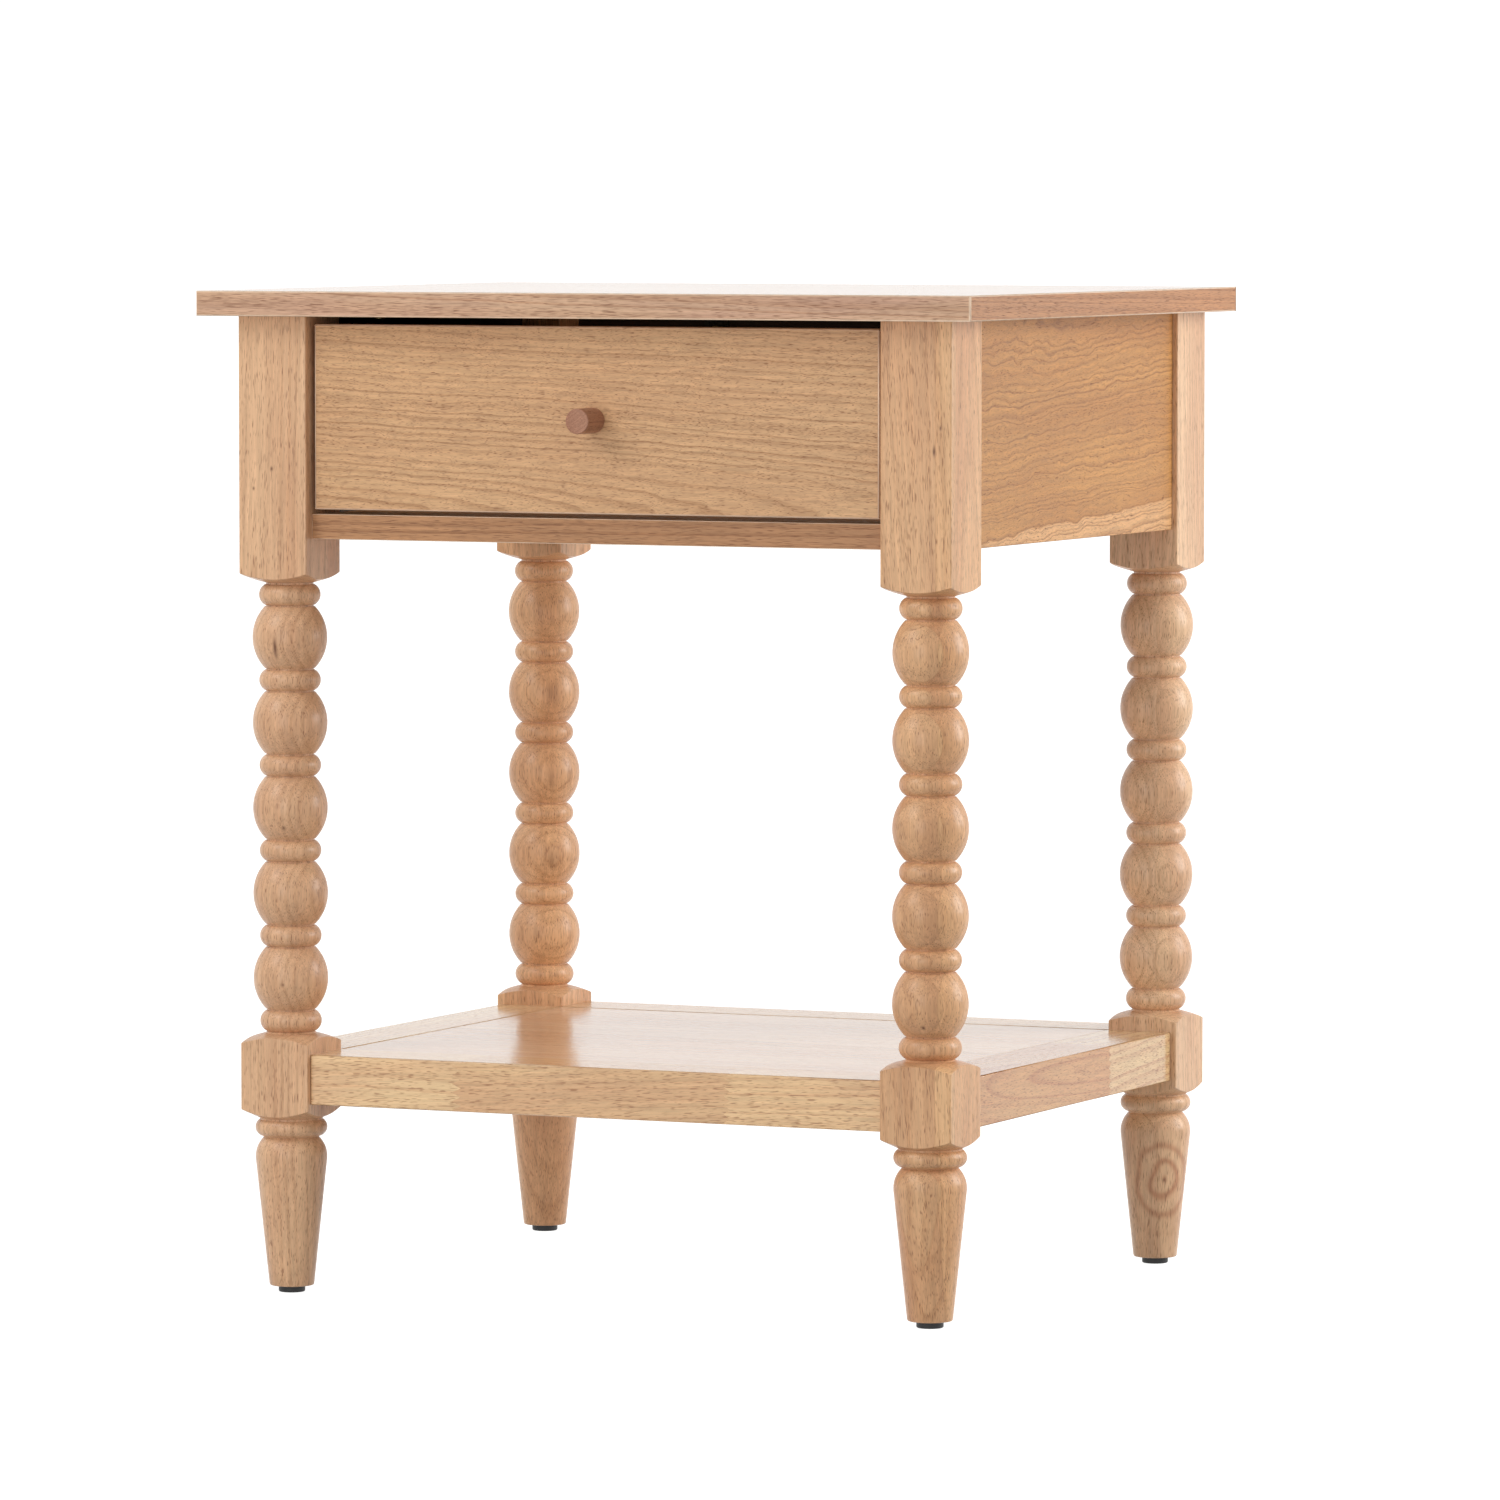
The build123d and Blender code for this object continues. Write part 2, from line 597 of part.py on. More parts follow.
def slide(name, side, cabinet_holes, drawer_holes):
    """One telescopic slide, written as its three members, two cages and two sets of balls."""
    y_span = (SLIDE_FRONT, SLIDE_BACK)
    outer = channel(side, (0.0, SLIDE_STEEL), OUTER_EDGE, SLIDE_HALF_HEIGHT, SLIDE_FLANGE, y_span)
    web = (MIDDLE_WEB, MIDDLE_WEB + SLIDE_STEEL)
    middle = channel(side, web, MIDDLE_EDGE, MIDDLE_OUT, SLIDE_FLANGE, y_span)
    web = (SLIDE_WIDTH - SLIDE_STEEL, SLIDE_WIDTH)
    inner = channel(side, web, INNER_EDGE, INNER_OUT, SLIDE_FLANGE, y_span)
    outer_height = OUTER_TRACK - BALL_SPACE / 2
    inner_height = MIDDLE_IN - BALL_SPACE / 2
    outer_balls, outer_cage = caged_balls(
        side, OUTER_BALL_U, outer_height, OUTER_CAGE_WEB, OUTER_BALL_U + SLIDE_BALL
    )
    inner_balls, inner_cage = caged_balls(
        side, INNER_BALL_U, inner_height, INNER_CAGE_WEB, INNER_BALL_U + SLIDE_BALL
    )
    write(f"slide_{name}_cabinet_member", drill(outer, cabinet_holes))
    write(f"slide_{name}_middle_member", middle)
    write(f"slide_{name}_drawer_member", drill(inner, drawer_holes))
    write(f"slide_{name}_outer_cage", outer_cage)
    write(f"slide_{name}_outer_balls", *outer_balls)
    write(f"slide_{name}_inner_cage", inner_cage)
    write(f"slide_{name}_inner_balls", *inner_balls)


def slide_screws():
    """Screws through the cabinet members into legs and battens, and into the drawer's sides."""
    cabinet = ([], [])
    drawer = ([], [])
    for side in SIDES.values():
        seats = [(side * (INNER_X - SLIDE_STEEL), y, SLIDE_Z) for y in CABINET_SCREW_Y]
        sets = screws(
            seats, (side, 0, 0), SLIDE_SCREW_SHANK, FLAT_HEAD_HEIGHT, SLIDE_SCREW, SLIDE_SCREW_HEAD
        )
        seats = [(side * (DRAWER_OUT_X + SLIDE_STEEL), y, SLIDE_Z) for y in DRAWER_SCREW_Y]
        shank = DRAWER_SIDE - 1.0
        more = screws(
            seats, (-side, 0, 0), shank, FLAT_HEAD_HEIGHT, SLIDE_SCREW, SLIDE_SCREW_HEAD
        )
        for group, made in ((cabinet, sets), (drawer, more)):
            group[0].extend(made[0])
            group[1].extend(made[1])
    return cabinet, drawer


def batten_screws():
    """Countersunk screws that hold the slide battens to the side aprons."""
    made = []
    holes = []
    shank = APRON_OUT_X - INNER_X - 4.0
    for side in SIDES.values():
        seats = [(side * INNER_X, y, BATTEN_SCREW_Z) for y in BATTEN_SCREW_Y]
        pins, cuts = sunk_screws(seats, (side, 0, 0), shank)
        made += pins
        holes += cuts
    return made, holes


def battens(holes):
    """Softwood battens that bring the slides out to the legs' inner faces."""
    for name, side in SIDES.items():
        x_span = (side * INNER_X, side * APRON_IN_X)
        batten = board(x_span, (BAY_FRONT, BAY_BACK), BATTEN_Z)
        write(f"slide_batten_{name}", drill(batten, *holes))


# --- Drawer ---
DRAWER_DOWEL_Z = (500.0, 545.0)
DRAWER_DOWEL_IN_FRONT = 10.0
DRAWER_DOWEL_IN_SIDE = 20.0
DRAWER_SCREW_Z = (497.0, 550.0)
DRAWER_SCREW_SHANK = 35.0
KNOB_SCREW_IN_KNOB = 14.0


def drawer_grooves():
    """The room that the drawer's bottom takes in the front, sides and back."""
    low = DRAWER_SIDE_BOTTOM + DRAWER_GROOVE_RISE
    z_span = (low - FIT, low + DRAWER_BOTTOM + FIT)
    x_span = (-DRAWER_IN_X - DRAWER_GROOVE, DRAWER_IN_X + DRAWER_GROOVE)
    y_span = (
        DRAWER_FRONT_BACK - DRAWER_GROOVE,
        DRAWER_BOX_BACK - DRAWER_SIDE + DRAWER_GROOVE,
    )
    groove = board(x_span, y_span, z_span)
    panel = board(
        (x_span[0] + FIT, x_span[1] - FIT),
        (y_span[0] + FIT, y_span[1] - FIT),
        (low, low + DRAWER_BOTTOM),
    )
    return groove, panel


def drawer_dowels():
    """Dowels from the drawer's sides into its front."""
    x = (DRAWER_IN_X + DRAWER_OUT_X) / 2
    y = DRAWER_FRONT_BACK - DRAWER_DOWEL_IN_FRONT
    starts = [(side * x, y, z) for side in SIDES.values() for z in DRAWER_DOWEL_Z]
    length = DRAWER_DOWEL_IN_FRONT + DRAWER_DOWEL_IN_SIDE
    return dowels(starts, (0, 1, 0), THIN_DOWEL, length)


def drawer_screws():
    """Countersunk screws through the drawer's sides into its back."""
    made = []
    holes = []
    y = DRAWER_BOX_BACK - DRAWER_SIDE / 2
    for side in SIDES.values():
        seats = [(side * DRAWER_OUT_X, y, z) for z in DRAWER_SCREW_Z]
        pins, cuts = sunk_screws(seats, (-side, 0, 0), DRAWER_SCREW_SHANK)
        made += pins
        holes += cuts
    return made, holes


def knob_parts():
    """A plain round knob, the screw that holds it, and the screw's hole."""
    seat = (0.0, DRAWER_FRONT_FACE, KNOB_Z)
    blank = rod(seat, (0, -1, 0), KNOB_RADIUS, KNOB_LENGTH)
    knob = fillet(blank.edges().filter_by(GeomType.CIRCLE).sort_by(Axis.Y)[0], KNOB_EASE)
    inside = (0.0, DRAWER_FRONT_BACK, KNOB_Z)
    shank = BOARD + KNOB_SCREW_IN_KNOB
    pins, holes = screws([inside], (0, -1, 0), shank, SCREW_HEAD_HEIGHT)
    return drill(knob, holes), pins, holes


def drawer(slide_holes):
    """The drawer's front with its edging, the box behind it, and its fixings."""
    groove, bottom = drawer_grooves()
    pins, pin_holes = drawer_dowels()
    fixings, fixing_holes = drawer_screws()
    knob, knob_screw, knob_hole = knob_parts()
    cuts = ([groove], pin_holes, fixing_holes, knob_hole, slide_holes)
    y_front = (DRAWER_FRONT_FACE, DRAWER_FRONT_BACK)
    z_front = (DRAWER_FRONT_LOW, DRAWER_FRONT_HIGH)
    half = DRAWER_HALF - EDGING
    core = board((-half, half), y_front, (z_front[0] + EDGING, z_front[1] - EDGING))
    strips = edging_frame(DRAWER_HALF, y_front, z_front, "Y")
    write("drawer_front", drill(core, *cuts))
    write("drawer_edging_bottom", eased(strips["low"], (0, 0, -1)))
    write("drawer_edging_top", eased(strips["high"], (0, 0, 1)))
    write(
        "drawer_edging_ends",
        eased(strips["left"], (-1, 0, 0)),
        eased(strips["right"], (1, 0, 0)),
    )
    z_box = (DRAWER_SIDE_BOTTOM, DRAWER_SIDE_BOTTOM + DRAWER_SIDE_HEIGHT)
    for name, side in SIDES.items():
        x_span = (side * DRAWER_IN_X, side * DRAWER_OUT_X)
        panel = board(x_span, (DRAWER_FRONT_BACK, DRAWER_BOX_BACK), z_box)
        write(f"drawer_side_{name}", drill(panel, *cuts))
    back_y = (DRAWER_BOX_BACK - DRAWER_SIDE, DRAWER_BOX_BACK)
    write("drawer_back", drill(board((-DRAWER_IN_X, DRAWER_IN_X), back_y, z_box), *cuts))
    write("drawer_bottom", bottom)
    write("drawer_dowels", *pins)
    write("drawer_screws", *fixings)
    write("knob", knob)
    write("knob_screw", *knob_screw)


# --- The whole table ---
def build():
    os.makedirs("parts", exist_ok=True)
    apron_pins, apron_holes = apron_dowels()
    rail_pins, rail_holes = rail_dowels()
    shelf_pins, shelf_holes = shelf_dowels()
    top_pins, top_holes = top_dowels()
    discs, nails, nail_holes = glides()
    angles, angle_screws, angle_holes = brackets()
    cabinet, on_drawer = slide_screws()
    batten_pins, batten_holes = batten_screws()

    leg_holes = (apron_holes, rail_holes, shelf_holes, top_holes, nail_holes, cabinet[1])
    blank = leg_blank()
    for name, (side, y) in CORNERS.items():
        write(f"leg_{name}", drill(Pos(side * LEG_X, y, 0) * blank, *leg_holes))
    write("foot_glides", *discs)
    write("glide_nails", *nails)

    table_top((top_holes, angle_holes))
    aprons((apron_holes, angle_holes, batten_holes))
    front_rail((rail_holes,))
    shelf((shelf_holes,))
    write("apron_dowels", *apron_pins)
    write("front_rail_dowels", *rail_pins)
    write("shelf_dowels", *shelf_pins)
    write("top_dowels", *top_pins)
    write("top_brackets", *angles)
    write("bracket_screws", *angle_screws)

    battens((batten_holes, cabinet[1]))
    write("batten_screws", *batten_pins)
    for name, side in SIDES.items():
        slide(name, side, cabinet[1], on_drawer[1])
    write("slide_cabinet_screws", *cabinet[0])
    write("slide_drawer_screws", *on_drawer[0])
    drawer(on_drawer[1])


build()
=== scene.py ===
import math

import bpy
import numpy as np
from mathutils import Euler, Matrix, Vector


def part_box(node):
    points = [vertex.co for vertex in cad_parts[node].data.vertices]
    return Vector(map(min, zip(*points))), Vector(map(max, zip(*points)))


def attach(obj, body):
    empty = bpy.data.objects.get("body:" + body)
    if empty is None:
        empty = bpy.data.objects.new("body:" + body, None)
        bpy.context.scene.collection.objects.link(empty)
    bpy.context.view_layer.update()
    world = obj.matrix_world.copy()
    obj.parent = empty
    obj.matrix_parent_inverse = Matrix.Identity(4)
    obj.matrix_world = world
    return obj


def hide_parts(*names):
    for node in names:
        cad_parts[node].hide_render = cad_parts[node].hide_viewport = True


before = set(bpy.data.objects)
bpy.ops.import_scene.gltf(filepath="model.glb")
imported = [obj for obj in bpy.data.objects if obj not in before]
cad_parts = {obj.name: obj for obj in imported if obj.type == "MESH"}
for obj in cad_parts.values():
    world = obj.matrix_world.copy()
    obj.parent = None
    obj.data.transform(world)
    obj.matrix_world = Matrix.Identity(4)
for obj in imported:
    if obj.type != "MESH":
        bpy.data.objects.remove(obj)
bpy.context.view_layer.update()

# --- Turned legs ---
# Each leg is one length of pale hardwood, glued up from two or three staves and turned between
# its square blocks into six rings and five balls, with a ring and a taper for the foot. The
# turner's arcs run out on the flats of the blocks. Satin lacquer over all.

MM = 0.001
LEG_SIDE = 45.0 * MM
CORNER_POWER = 44.0
ARRIS = 0.35 * MM
FOOT_Z = 4.0 * MM
BEAD_STEPS = 22
AROUND = 168
CORNER_CROWDING = 0.8
NECK_RADIUS = 14.2 * MM
RING_Z = 163.4 * MM
RING_SPACING = 51.03 * MM
RING_RADIUS = 18.4 * MM
RING_HALF = 6.1 * MM
RING_LIP = 14.9 * MM
BALLS = 5
BALL_ABOVE_RING = 25.55 * MM
BALL_RADIUS = 22.3 * MM
BALL_HALF = 18.4 * MM
BALL_LIP = 15.1 * MM
STEP = 0.1 * MM
TOP_NECK_Z = 425.8 * MM
FOOT_TIP = [[4.0 * MM, FOOT_Z], [12.4 * MM, FOOT_Z], [13.1 * MM, 4.3 * MM], [13.4 * MM, 5.0 * MM]]
FOOT_SWELL = ((21.4 * MM, 80.5 * MM), (20.1 * MM, 88.1 * MM), (16.5 * MM, 93.3 * MM))
FOOT_RING = ((16.9 * MM, 93.9 * MM), (21.5 * MM, 98.9 * MM), (18.9 * MM, 104.1 * MM))
FOOT_SHOULDER = ((18.8 * MM, 105.0 * MM), (25.5 * MM, 108.0 * MM), (33.0 * MM, 111.6 * MM))
SHELF_SHOULDER = ((15.2 * MM, 156.0 * MM), (22.5 * MM, 154.0 * MM), (33.0 * MM, 149.7 * MM))
APRON_SHOULDER = ((15.2 * MM, 426.0 * MM), (22.5 * MM, 428.1 * MM), (33.0 * MM, 432.3 * MM))
SHARP_ANGLE = math.radians(28.0)


def arc_through(start, middle, end, steps):
    """Points on the circle through three points: centre from the perpendicular bisectors, then
    equal steps of angle from the first point to the last by way of the middle one."""
    a, b, c = (complex(*point) for point in (start, middle, end))
    w = (c - a) / (b - a)
    centre = (b - a) * (w - abs(w) ** 2) / (w - w.conjugate()) + a
    turn = np.angle((b - centre) / (a - centre)) + np.angle((c - centre) / (b - centre))
    points = centre + (a - centre) * np.exp(1j * turn * np.linspace(0.0, 1.0, steps))
    return np.column_stack((points.real, points.imag))


def rounded_square(angle, half):
    """Distance from the middle to a square's side, its corners rounded: half over the p-norm of
    (cos, sin) with a high p."""
    norm = np.abs(np.cos(angle)) ** CORNER_POWER + np.abs(np.sin(angle)) ** CORNER_POWER
    return half * norm ** (-1.0 / CORNER_POWER)


def crowded_angles(count):
    """Angles round the leg, crowded towards the four corners: t + k/4 sin 4t."""
    t = np.arange(count) * 2.0 * np.pi / count
    return t + CORNER_CROWDING / 4.0 * np.sin(4.0 * t)


def new_object(name, data):
    """A new object, linked into the scene."""
    made = bpy.data.objects.new(name, data)
    bpy.context.scene.collection.objects.link(made)
    return made


def closed_surface(name, rings, material):
    """A tube of rings, closed by a point at each end. rings has shape (rows, columns, 3)."""
    rows, columns, _ = rings.shape
    ends = np.array([rings[0].mean(axis=0), rings[-1].mean(axis=0)])
    points = np.concatenate((rings.reshape(-1, 3), ends))
    row, column = np.meshgrid(np.arange(rows - 1), np.arange(columns), indexing="ij")
    after = (column + 1) % columns
    corners = (row * columns + column, row * columns + after)
    quads = np.stack((*corners, corners[1] + columns, corners[0] + columns), axis=-1)
    around = np.arange(columns)
    first, last = len(points) - 2, len(points) - 1
    low = np.column_stack((np.roll(around, -1), around, np.full(columns, first)))
    top = around + (rows - 1) * columns
    high = np.column_stack((top, np.roll(top, -1), np.full(columns, last)))
    mesh = bpy.data.meshes.new(name)
    faces = quads.reshape(-1, 4).tolist() + low.tolist() + high.tolist()
    mesh.from_pydata(points.tolist(), [], faces)
    mesh.polygons.foreach_set("use_smooth", np.ones(len(mesh.polygons), bool))
    mesh.set_sharp_from_angle(angle=SHARP_ANGLE)
    mesh.materials.append(material)
    return new_object(name, mesh)


def round_rows(profile, count):
    """Rings of equal radius all round from an (r, z) profile."""
    radius, z = np.asarray(profile).T
    ones = np.ones(count)
    return radius[:, None] * ones, z[:, None] * ones


def shoulder_rows(inner, bend, outer, angle, steps=9):
    """The turned end of a square block. The turner's arc in (r, z) is followed outwards until
    it meets the square's side, so its rim is a low arch on every flat."""
    curve = arc_through(inner, bend, outer, 60)
    side = rounded_square(angle, LEG_SIDE / 2)
    share = np.linspace(0.0, 1.0, steps)[:, None]
    radius = inner[0] + (side - ARRIS - inner[0]) * share
    return radius, np.interp(radius, curve[:, 0], curve[:, 1])


def bead_profile(z, radius, half, lip):
    """One turned bead: a step out of the groove, an arc round the bead, a step back in."""
    arc = arc_through((lip, z - half), (radius, z), (lip, z + half), BEAD_STEPS)
    return np.concatenate(([[NECK_RADIUS, z - half - STEP]], arc, [[NECK_RADIUS, z + half + STEP]]))


def leg_surface(angle):
    """Radius and height of every point of the leg, row by row from the foot to the top."""
    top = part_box("leg_front_left")[1].z
    side = rounded_square(angle, LEG_SIDE / 2)
    flats = np.array([side, side])
    count = len(angle)
    low_rim = shoulder_rows(*FOOT_SHOULDER, angle)
    high_rim = shoulder_rows(*SHELF_SHOULDER, angle)
    apron_rim = shoulder_rows(*APRON_SHOULDER, angle)
    foot = [FOOT_TIP, arc_through(*FOOT_SWELL, 12), arc_through(*FOOT_RING, BEAD_STEPS)]
    beads = []
    for ring in range(BALLS + 1):
        z = RING_Z + ring * RING_SPACING
        beads.append(bead_profile(z, RING_RADIUS, RING_HALF, RING_LIP))
        if ring < BALLS:
            beads.append(bead_profile(z + BALL_ABOVE_RING, BALL_RADIUS, BALL_HALF, BALL_LIP))
    beads.append([[NECK_RADIUS, TOP_NECK_Z]])
    rows = [
        round_rows(np.concatenate(foot), count),
        low_rim,
        (flats, np.array([low_rim[1][-1] + ARRIS, high_rim[1][-1] - ARRIS])),
        (high_rim[0][::-1], high_rim[1][::-1]),
        round_rows(np.concatenate(beads), count),
        apron_rim,
        (flats, np.array([apron_rim[1][-1] + ARRIS, np.full(count, top - ARRIS)])),
        (np.array([side - ARRIS]), np.full((1, count), top)),
    ]
    return np.concatenate([r for r, _ in rows]), np.concatenate([z for _, z in rows])


def add(tree, kind, inputs=None, **settings):
    """Adds a node; each input is a plain value or another node's output socket."""
    node = tree.nodes.new(kind)
    for key, value in settings.items():
        setattr(node, key, value)
    for key, value in (inputs or {}).items():
        if isinstance(value, bpy.types.NodeSocket):
            tree.links.new(value, node.inputs[key])
        else:
            node.inputs[key].default_value = value
    return node


def calc(tree, operation, *values):
    """Output of a Math node."""
    return add(tree, "ShaderNodeMath", dict(enumerate(values)), operation=operation).outputs[0]


def vcalc(tree, operation, *values):
    """Output of a Vector Math node."""
    node = add(tree, "ShaderNodeVectorMath", dict(enumerate(values)), operation=operation)
    return node.outputs[0]


def resized(tree, vector, share):
    """A vector times a number."""
    inputs = {0: vector, "Scale": share}
    return add(tree, "ShaderNodeVectorMath", inputs, operation="SCALE").outputs[0]


def length_of(tree, vector):
    """A vector's length."""
    return add(tree, "ShaderNodeVectorMath", {0: vector}, operation="LENGTH").outputs["Value"]


def ramp(tree, value, low, high):
    """0 below low, 1 above high, smooth between."""
    inputs = {"Value": value, "From Min": low, "From Max": high}
    node = add(tree, "ShaderNodeMapRange", inputs, interpolation_type="SMOOTHSTEP", clamp=True)
    return node.outputs[0]


def noise(tree, vector, detail=2.0, scale=1.0, rough=0.5):
    """A noise texture node, whose outputs are a grey and a colour."""
    inputs = {"Vector": vector, "Scale": scale, "Detail": detail, "Roughness": rough}
    return add(tree, "ShaderNodeTexNoise", inputs)


def blend(tree, share, a, b, way="MIX"):
    """Colour b laid over colour a."""
    node = add(tree, "ShaderNodeMix", data_type="RGBA", blend_type=way, clamp_factor=True)
    for index, value in ((0, share), (6, a), (7, b)):
        if isinstance(value, bpy.types.NodeSocket):
            tree.links.new(value, node.inputs[index])
        else:
            node.inputs[index].default_value = value
    return node.outputs[2]


def tone(red, green, blue, alpha=1.0):
    """A colour given as it looks on a screen, 0 to 255, turned into light values."""
    parts = np.array([red, green, blue]) / 255.0
    linear = np.where(parts <= 0.04045, parts / 12.92, ((parts + 0.055) / 1.055) ** 2.4)
    return (*linear.tolist(), alpha)


FLOAT = "NodeSocketFloat"
VECTOR = "NodeSocketVector"


def new_group(name, inputs, outputs):
    """An empty shader node group with named float and vector sockets."""
    tree = bpy.data.node_groups.new(name, "ShaderNodeTree")
    for label, kind, value in inputs:
        socket = tree.interface.new_socket(label, in_out="INPUT", socket_type=kind)
        if value is not None:
            socket.default_value = value
    for label in outputs:
        tree.interface.new_socket(label, in_out="OUTPUT", socket_type=FLOAT)
    return tree, tree.nodes.new("NodeGroupInput").outputs, tree.nodes.new("NodeGroupOutput")


MID_GREY = (0.5, 0.5, 0.5)
SWAY_SCALE = (11.0, 11.0, 3.0)
RIPPLE_SCALE = (75.0, 75.0, 38.0)
FIBRE_SCALE = (1100.0, 1100.0, 34.0)
THREAD_SCALE = (480.0, 480.0, 10.0)
CLOUD_SCALE = (34.0, 34.0, 5.0)


def grain_group():
    """Timber as a solid. Z runs along the trunk and the pith is at x = y = 0: the growth rings
    are whole numbers of ring widths from the pith, bent by slow noise; pores are short dark
    streaks along the trunk."""
    tree, given, out = new_group(
        "timber_grain",
        [
            ("Vector", VECTOR, None),
            ("Ring Width", FLOAT, 0.004),
            ("Sway", FLOAT, 0.006),
            ("Ripple", FLOAT, 0.001),
            ("Pore Width", FLOAT, 0.0004),
            ("Pore Length", FLOAT, 0.005),
            ("Pore Cover", FLOAT, 0.5),
            ("Lift", FLOAT, 0.0),
        ],
        ["Rings", "Pores", "Fibre", "Cloud", "Depth"],
    )
    place = given["Vector"]
    slow = noise(tree, vcalc(tree, "MULTIPLY", place, SWAY_SCALE), 2.0)
    sway = resized(tree, vcalc(tree, "SUBTRACT", slow.outputs["Color"], MID_GREY), given["Sway"])
    quick = noise(tree, vcalc(tree, "MULTIPLY", place, RIPPLE_SCALE), 2.0)
    ripple = resized(tree, vcalc(tree, "SUBTRACT", quick.outputs["Color"], MID_GREY), given["Ripple"])
    bent = vcalc(tree, "ADD", vcalc(tree, "ADD", place, sway), ripple)
    depth = length_of(tree, vcalc(tree, "MULTIPLY", bent, (1.0, 1.0, 0.0)))
    depth = calc(tree, "ADD", depth, given["Lift"])
    tree.links.new(depth, out.inputs["Depth"])
    phase = calc(tree, "DIVIDE", depth, given["Ring Width"])
    seasons = {"W": phase, "Scale": 0.45, "Detail": 1.0}
    uneven = add(tree, "ShaderNodeTexNoise", seasons, noise_dimensions="1D")
    phase = calc(tree, "MULTIPLY_ADD", uneven.outputs[0], 2.2, phase)
    part = calc(tree, "FRACT", phase)
    rise = ramp(tree, part, 0.42, 0.88)
    fall = ramp(tree, part, 0.90, 1.0)
    late = calc(tree, "MULTIPLY", rise, calc(tree, "SUBTRACT", 1.0, fall))
    year = {"W": calc(tree, "FLOOR", phase)}
    strength = add(tree, "ShaderNodeTexWhiteNoise", year, noise_dimensions="1D").outputs[0]
    strength = calc(tree, "MULTIPLY_ADD", strength, 0.75, 0.25)
    tree.links.new(calc(tree, "MULTIPLY", late, strength), out.inputs["Rings"])
    across = calc(tree, "DIVIDE", 1.0, given["Pore Width"])
    along = calc(tree, "DIVIDE", 1.0, given["Pore Length"])
    scale = add(tree, "ShaderNodeCombineXYZ", {0: across, 1: across, 2: along}).outputs[0]
    spread = vcalc(tree, "MULTIPLY", bent, scale)
    specks = noise(tree, spread, 0.0, 0.9).outputs[0]
    cover = calc(tree, "MULTIPLY_ADD", given["Pore Cover"], -0.22, 0.76)
    cover = calc(tree, "MULTIPLY_ADD", late, -0.06, cover)
    deep = {"Value": specks, "From Min": cover, "From Max": calc(tree, "ADD", cover, 0.16)}
    pores = add(tree, "ShaderNodeMapRange", deep, clamp=True).outputs[0]
    tree.links.new(pores, out.inputs["Pores"])
    fibre = noise(tree, vcalc(tree, "MULTIPLY", bent, FIBRE_SCALE), 2.0, 1.0, 0.6).outputs[0]
    thread = noise(tree, vcalc(tree, "MULTIPLY", bent, THREAD_SCALE), 2.0, 1.0, 0.6).outputs[0]
    fibre = calc(tree, "MULTIPLY_ADD", fibre, 0.5, calc(tree, "MULTIPLY", thread, 0.5))
    tree.links.new(fibre, out.inputs["Fibre"])
    cloud = noise(tree, vcalc(tree, "MULTIPLY", bent, CLOUD_SCALE), 3.0, 1.0, 0.55)
    tree.links.new(cloud.outputs[0], out.inputs["Cloud"])
    return tree


def knot_group():
    """How near a point is to a knot: exp(-d squared), d being the distance from the knot's
    place in units of its reach along each axis."""
    inputs = [("Vector", VECTOR, None), ("Place", VECTOR, None), ("Reach", VECTOR, None)]
    tree, given, out = new_group("timber_knot", inputs, ["Near"])
    away = vcalc(tree, "SUBTRACT", given["Vector"], given["Place"])
    away = vcalc(tree, "DIVIDE", away, given["Reach"])
    squared = add(tree, "ShaderNodeVectorMath", {0: away, 1: away}, operation="DOT_PRODUCT")
    near = calc(tree, "EXPONENT", calc(tree, "MULTIPLY", squared.outputs["Value"], -1.0))
    tree.links.new(near, out.inputs["Near"])
    return tree


def empty_material(name):
    """A material with nothing in it yet, and its node tree."""
    material = bpy.data.materials.new(name)
    material.use_nodes = True
    material.node_tree.nodes.clear()
    return material, material.node_tree


def close_material(tree, settings):
    """Sets the settings on a Principled BSDF and joins it to the material's output."""
    shader = add(tree, "ShaderNodeBsdfPrincipled", settings)
    add(tree, "ShaderNodeOutputMaterial", {"Surface": shader.outputs[0]})


def object_place(tree):
    """Object coordinates."""
    return add(tree, "ShaderNodeTexCoord").outputs["Object"]


TIMBER = grain_group()
KNOT = knot_group()
GRAIN_TURNS = {"X": (0.0, -math.pi / 2, 0.0), "Y": (math.pi / 2, 0.0, 0.0), "Z": (0.0, 0.0, 0.0)}


def timber_place(tree, centre, grain, pith, tilt=(0.0, 0.0, 0.0)):
    """Object coordinates turned so that the grain lies along Z, with the pith at an offset from
    a piece's centre. tilt leans the trunk a little, which draws the rings out into arches."""
    base = Euler(GRAIN_TURNS[grain]).to_matrix()
    turned = (Euler(tilt).to_matrix() @ base).to_euler()
    away = Vector(pith) - turned.to_matrix() @ Vector(centre)
    settings = {"Vector": object_place(tree), "Location": away, "Rotation": turned}
    return add(tree, "ShaderNodeMapping", settings).outputs[0]


FINGERS_PER_METRE = 380.0
BRANCH_WARP = 0.008
SAP_EDGE = 0.0015
KNOT_TONE = tone(92, 54, 34)
BRANCH_TONE = tone(172, 110, 78)


